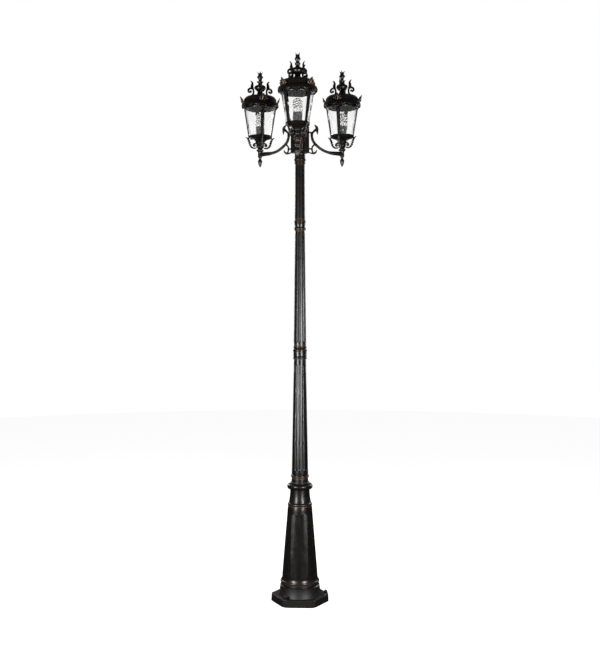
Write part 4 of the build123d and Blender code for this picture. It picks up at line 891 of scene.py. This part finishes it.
# materials of the CAD nodes that stay: rubbed bands are (low, high, strength) in mm up the post
postBands = {
    "base_casting": [(98.0, 102.5, 0.7), (102, 113, 0.12), (495.5, 500.0, 0.7), (500, 512, 0.12)],
    "base_collar": [(617, 624, 0.3)],
    "lower_shaft": [(637.0, 644.0, 0.45), (648.0, 654.0, 0.85), (1258, 1265, 0.3)],
    "lower_coupling": [(1264, 1271, 0.4), (1310, 1317, 0.25), (1328, 1338, 0.5)],
    "middle_shaft": [(1338, 1344, 0.3), (1930, 1940, 0.4)],
    "upper_coupling": [(1940, 1949, 0.45), (1984, 1994, 0.5)],
    "upper_shaft": [(1994, 2000, 0.4), (2280, 2288, 0.3)],
    "head_collar": [(2295, 2302, 0.4), (2304, 2311, 0.2)],
}
lanternBands = {
    "gallery": [(2374, 2386, 0.15)],
    "acorn_finial": [(2288, 2322, 0.15)],
    "roof": [(2649, 2657, 0.12), (2704, 2718, 0.12)],
}
scuffedFoot = 92.0  # the plinth and skirt are matter up to here
steelNodes = ("anchor_washers", "earth_terminal", "base_joint_tube", "lower_joint_tube", "upper_joint_tube")
lanternCoats = {key: powderCoat(f"powderCoat_{key}", bands) for key, bands in lanternBands.items()}
for name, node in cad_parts.items():
    side, _, part = name.partition("_")
    if name in postBands:
        dullBelow = scuffedFoot if name == "base_casting" else 0.0
        material = powderCoat(f"powderCoat_{name}", postBands[name], dullBelow=dullBelow)
    elif part in lanternCoats:
        material = lanternCoats[part]
    elif name in steelNodes or part == "nipple":
        material = zincSteel
    elif part == "lampholder":
        material = phenolic
    elif name == "terminal_block":
        material = polyamide
    elif part == "glass":
        material = rippledGlass
    elif part == "bulb":
        material = ballastPlastic
    else:
        material = coatPlain
    node.data.materials.clear()
    node.data.materials.append(material)
print("frame nodes finished")

# white paper floor: it glows for the camera and is dim for the coat's reflections
studioPlan = {
    "floorSize": 9.0,
    "floorDrop": 0.0004,
    "floorGlow": 0.88,
    "floorSeen": "#f2f2f2",
    "floorReflected": "#3c3c3c",
    "roomFront": 0.05,
    "roomBack": 0.15,
}
floorMesh = bpy.data.meshes.new("studioFloor")
floorBuild = bmesh.new()
bmesh.ops.create_circle(floorBuild, cap_ends=True, segments=96, radius=studioPlan["floorSize"])
floorBuild.to_mesh(floorMesh)
floorBuild.free()
studioFloor = bpy.data.objects.new("studioFloor", floorMesh)
studioFloor.location = (0, 0, -studioPlan["floorDrop"])
bpy.context.scene.collection.objects.link(studioFloor)
floorMaterial, tree, output = newMaterial("whitePaperFloor")
glow = addNode(tree, "ShaderNodeEmission", None, {
    "Color": (1, 1, 1, 1), "Strength": studioPlan["floorGlow"]})
seen = addNode(tree, "ShaderNodeLightPath")
either = addNode(tree, "ShaderNodeMath", {"operation": "MAXIMUM"}, {
    0: seen.outputs["Is Camera Ray"], 1: seen.outputs["Is Transmission Ray"]})
tone = addNode(tree, "ShaderNodeMix", {"data_type": "RGBA"}, {
    "Factor": either.outputs[0],
    "A": hexColour(studioPlan["floorReflected"]), "B": hexColour(studioPlan["floorSeen"])})
paper = addNode(tree, "ShaderNodeBsdfDiffuse", None, {"Color": tone.outputs["Result"]})
dark = addNode(tree, "ShaderNodeEmission", None, {"Color": (0, 0, 0, 1), "Strength": 0.0})
lift = addNode(tree, "ShaderNodeMixShader", None, {
    0: either.outputs[0], 1: dark.outputs[0], 2: glow.outputs[0]})
both = addNode(tree, "ShaderNodeAddShader", None, {0: paper.outputs[0], 1: lift.outputs[0]})
tree.links.new(both.outputs[0], output.inputs["Surface"])
floorMesh.materials.append(floorMaterial)

world = bpy.data.worlds.new("paperStudio")
world.use_nodes = True
tree = world.node_tree
tree.nodes.clear()
worldOut = addNode(tree, "ShaderNodeOutputWorld")
way = addNode(tree, "ShaderNodeTexCoord").outputs["Generated"]
depth = addNode(tree, "ShaderNodeSeparateXYZ", None, {0: way}).outputs["Y"]
# the white paper hangs behind the post, the front of the room is dim
room = addNode(tree, "ShaderNodeMapRange", {"interpolation_type": "SMOOTHSTEP"}, {
    "Value": depth, "From Min": -0.15, "From Max": 0.6,
    "To Min": studioPlan["roomFront"], "To Max": studioPlan["roomBack"]})
path = addNode(tree, "ShaderNodeLightPath")
plain = addNode(tree, "ShaderNodeMath", {"operation": "MAXIMUM"}, {
    0: path.outputs["Is Camera Ray"], 1: path.outputs["Is Transmission Ray"]})
level = addNode(tree, "ShaderNodeMix", {"data_type": "FLOAT"}, {
    "Factor": plain.outputs[0], "A": room.outputs[0], "B": 1.0})
sky = addNode(tree, "ShaderNodeBackground", None, {
    "Color": (1, 1, 1, 1), "Strength": level.outputs["Result"]})
tree.links.new(sky.outputs[0], worldOut.inputs["Surface"])
bpy.context.scene.world = world

# softboxes: (azimuth from the viewer's direction, distance, height, width, tall, power)
softboxes = {
    "keyLeft": (-37.0, 2.6, 1.25, 0.45, 1.10, 62.0),
    "keyRight": (32.0, 2.6, 1.25, 0.45, 1.10, 56.0),
    "fillBackLeft": (-150.0, 3.2, 1.9, 0.9, 1.6, 30.0),
    "fillBackRight": (140.0, 3.2, 1.9, 0.9, 1.6, 30.0),
}
for name, (turn, distance, height, wide, tall, power) in softboxes.items():
    lamp = bpy.data.lights.new(name, "AREA")
    lamp.shape = "RECTANGLE"
    lamp.size = wide
    lamp.size_y = tall
    lamp.energy = power
    lampObject = bpy.data.objects.new(name, lamp)
    angle = math.radians(-90.0 + turn)
    spot = Vector((distance * math.cos(angle), distance * math.sin(angle), height))
    lampObject.location = spot
    lampObject.rotation_euler = (Vector((0, 0, height)) - spot).to_track_quat("-Z", "Y").to_euler()
    bpy.context.scene.collection.objects.link(lampObject)

cameraPlan = {"spot": (0.229, -5.035, 1.556), "lens": 52.4, "turn": 2.60, "shiftY": -0.0403}
camera = bpy.data.cameras.new("productCamera")
camera.lens = cameraPlan["lens"]
camera.sensor_width = 36.0
camera.shift_y = cameraPlan["shiftY"]
camera.dof.use_dof = False
cameraObject = bpy.data.objects.new("productCamera", camera)
cameraObject.location = cameraPlan["spot"]
cameraObject.rotation_euler = (math.radians(90.0), 0, math.radians(cameraPlan["turn"]))
bpy.context.scene.collection.objects.link(cameraObject)
bpy.context.scene.camera = cameraObject
bpy.context.scene.view_settings.view_transform = "Standard"
print("stage and camera set")
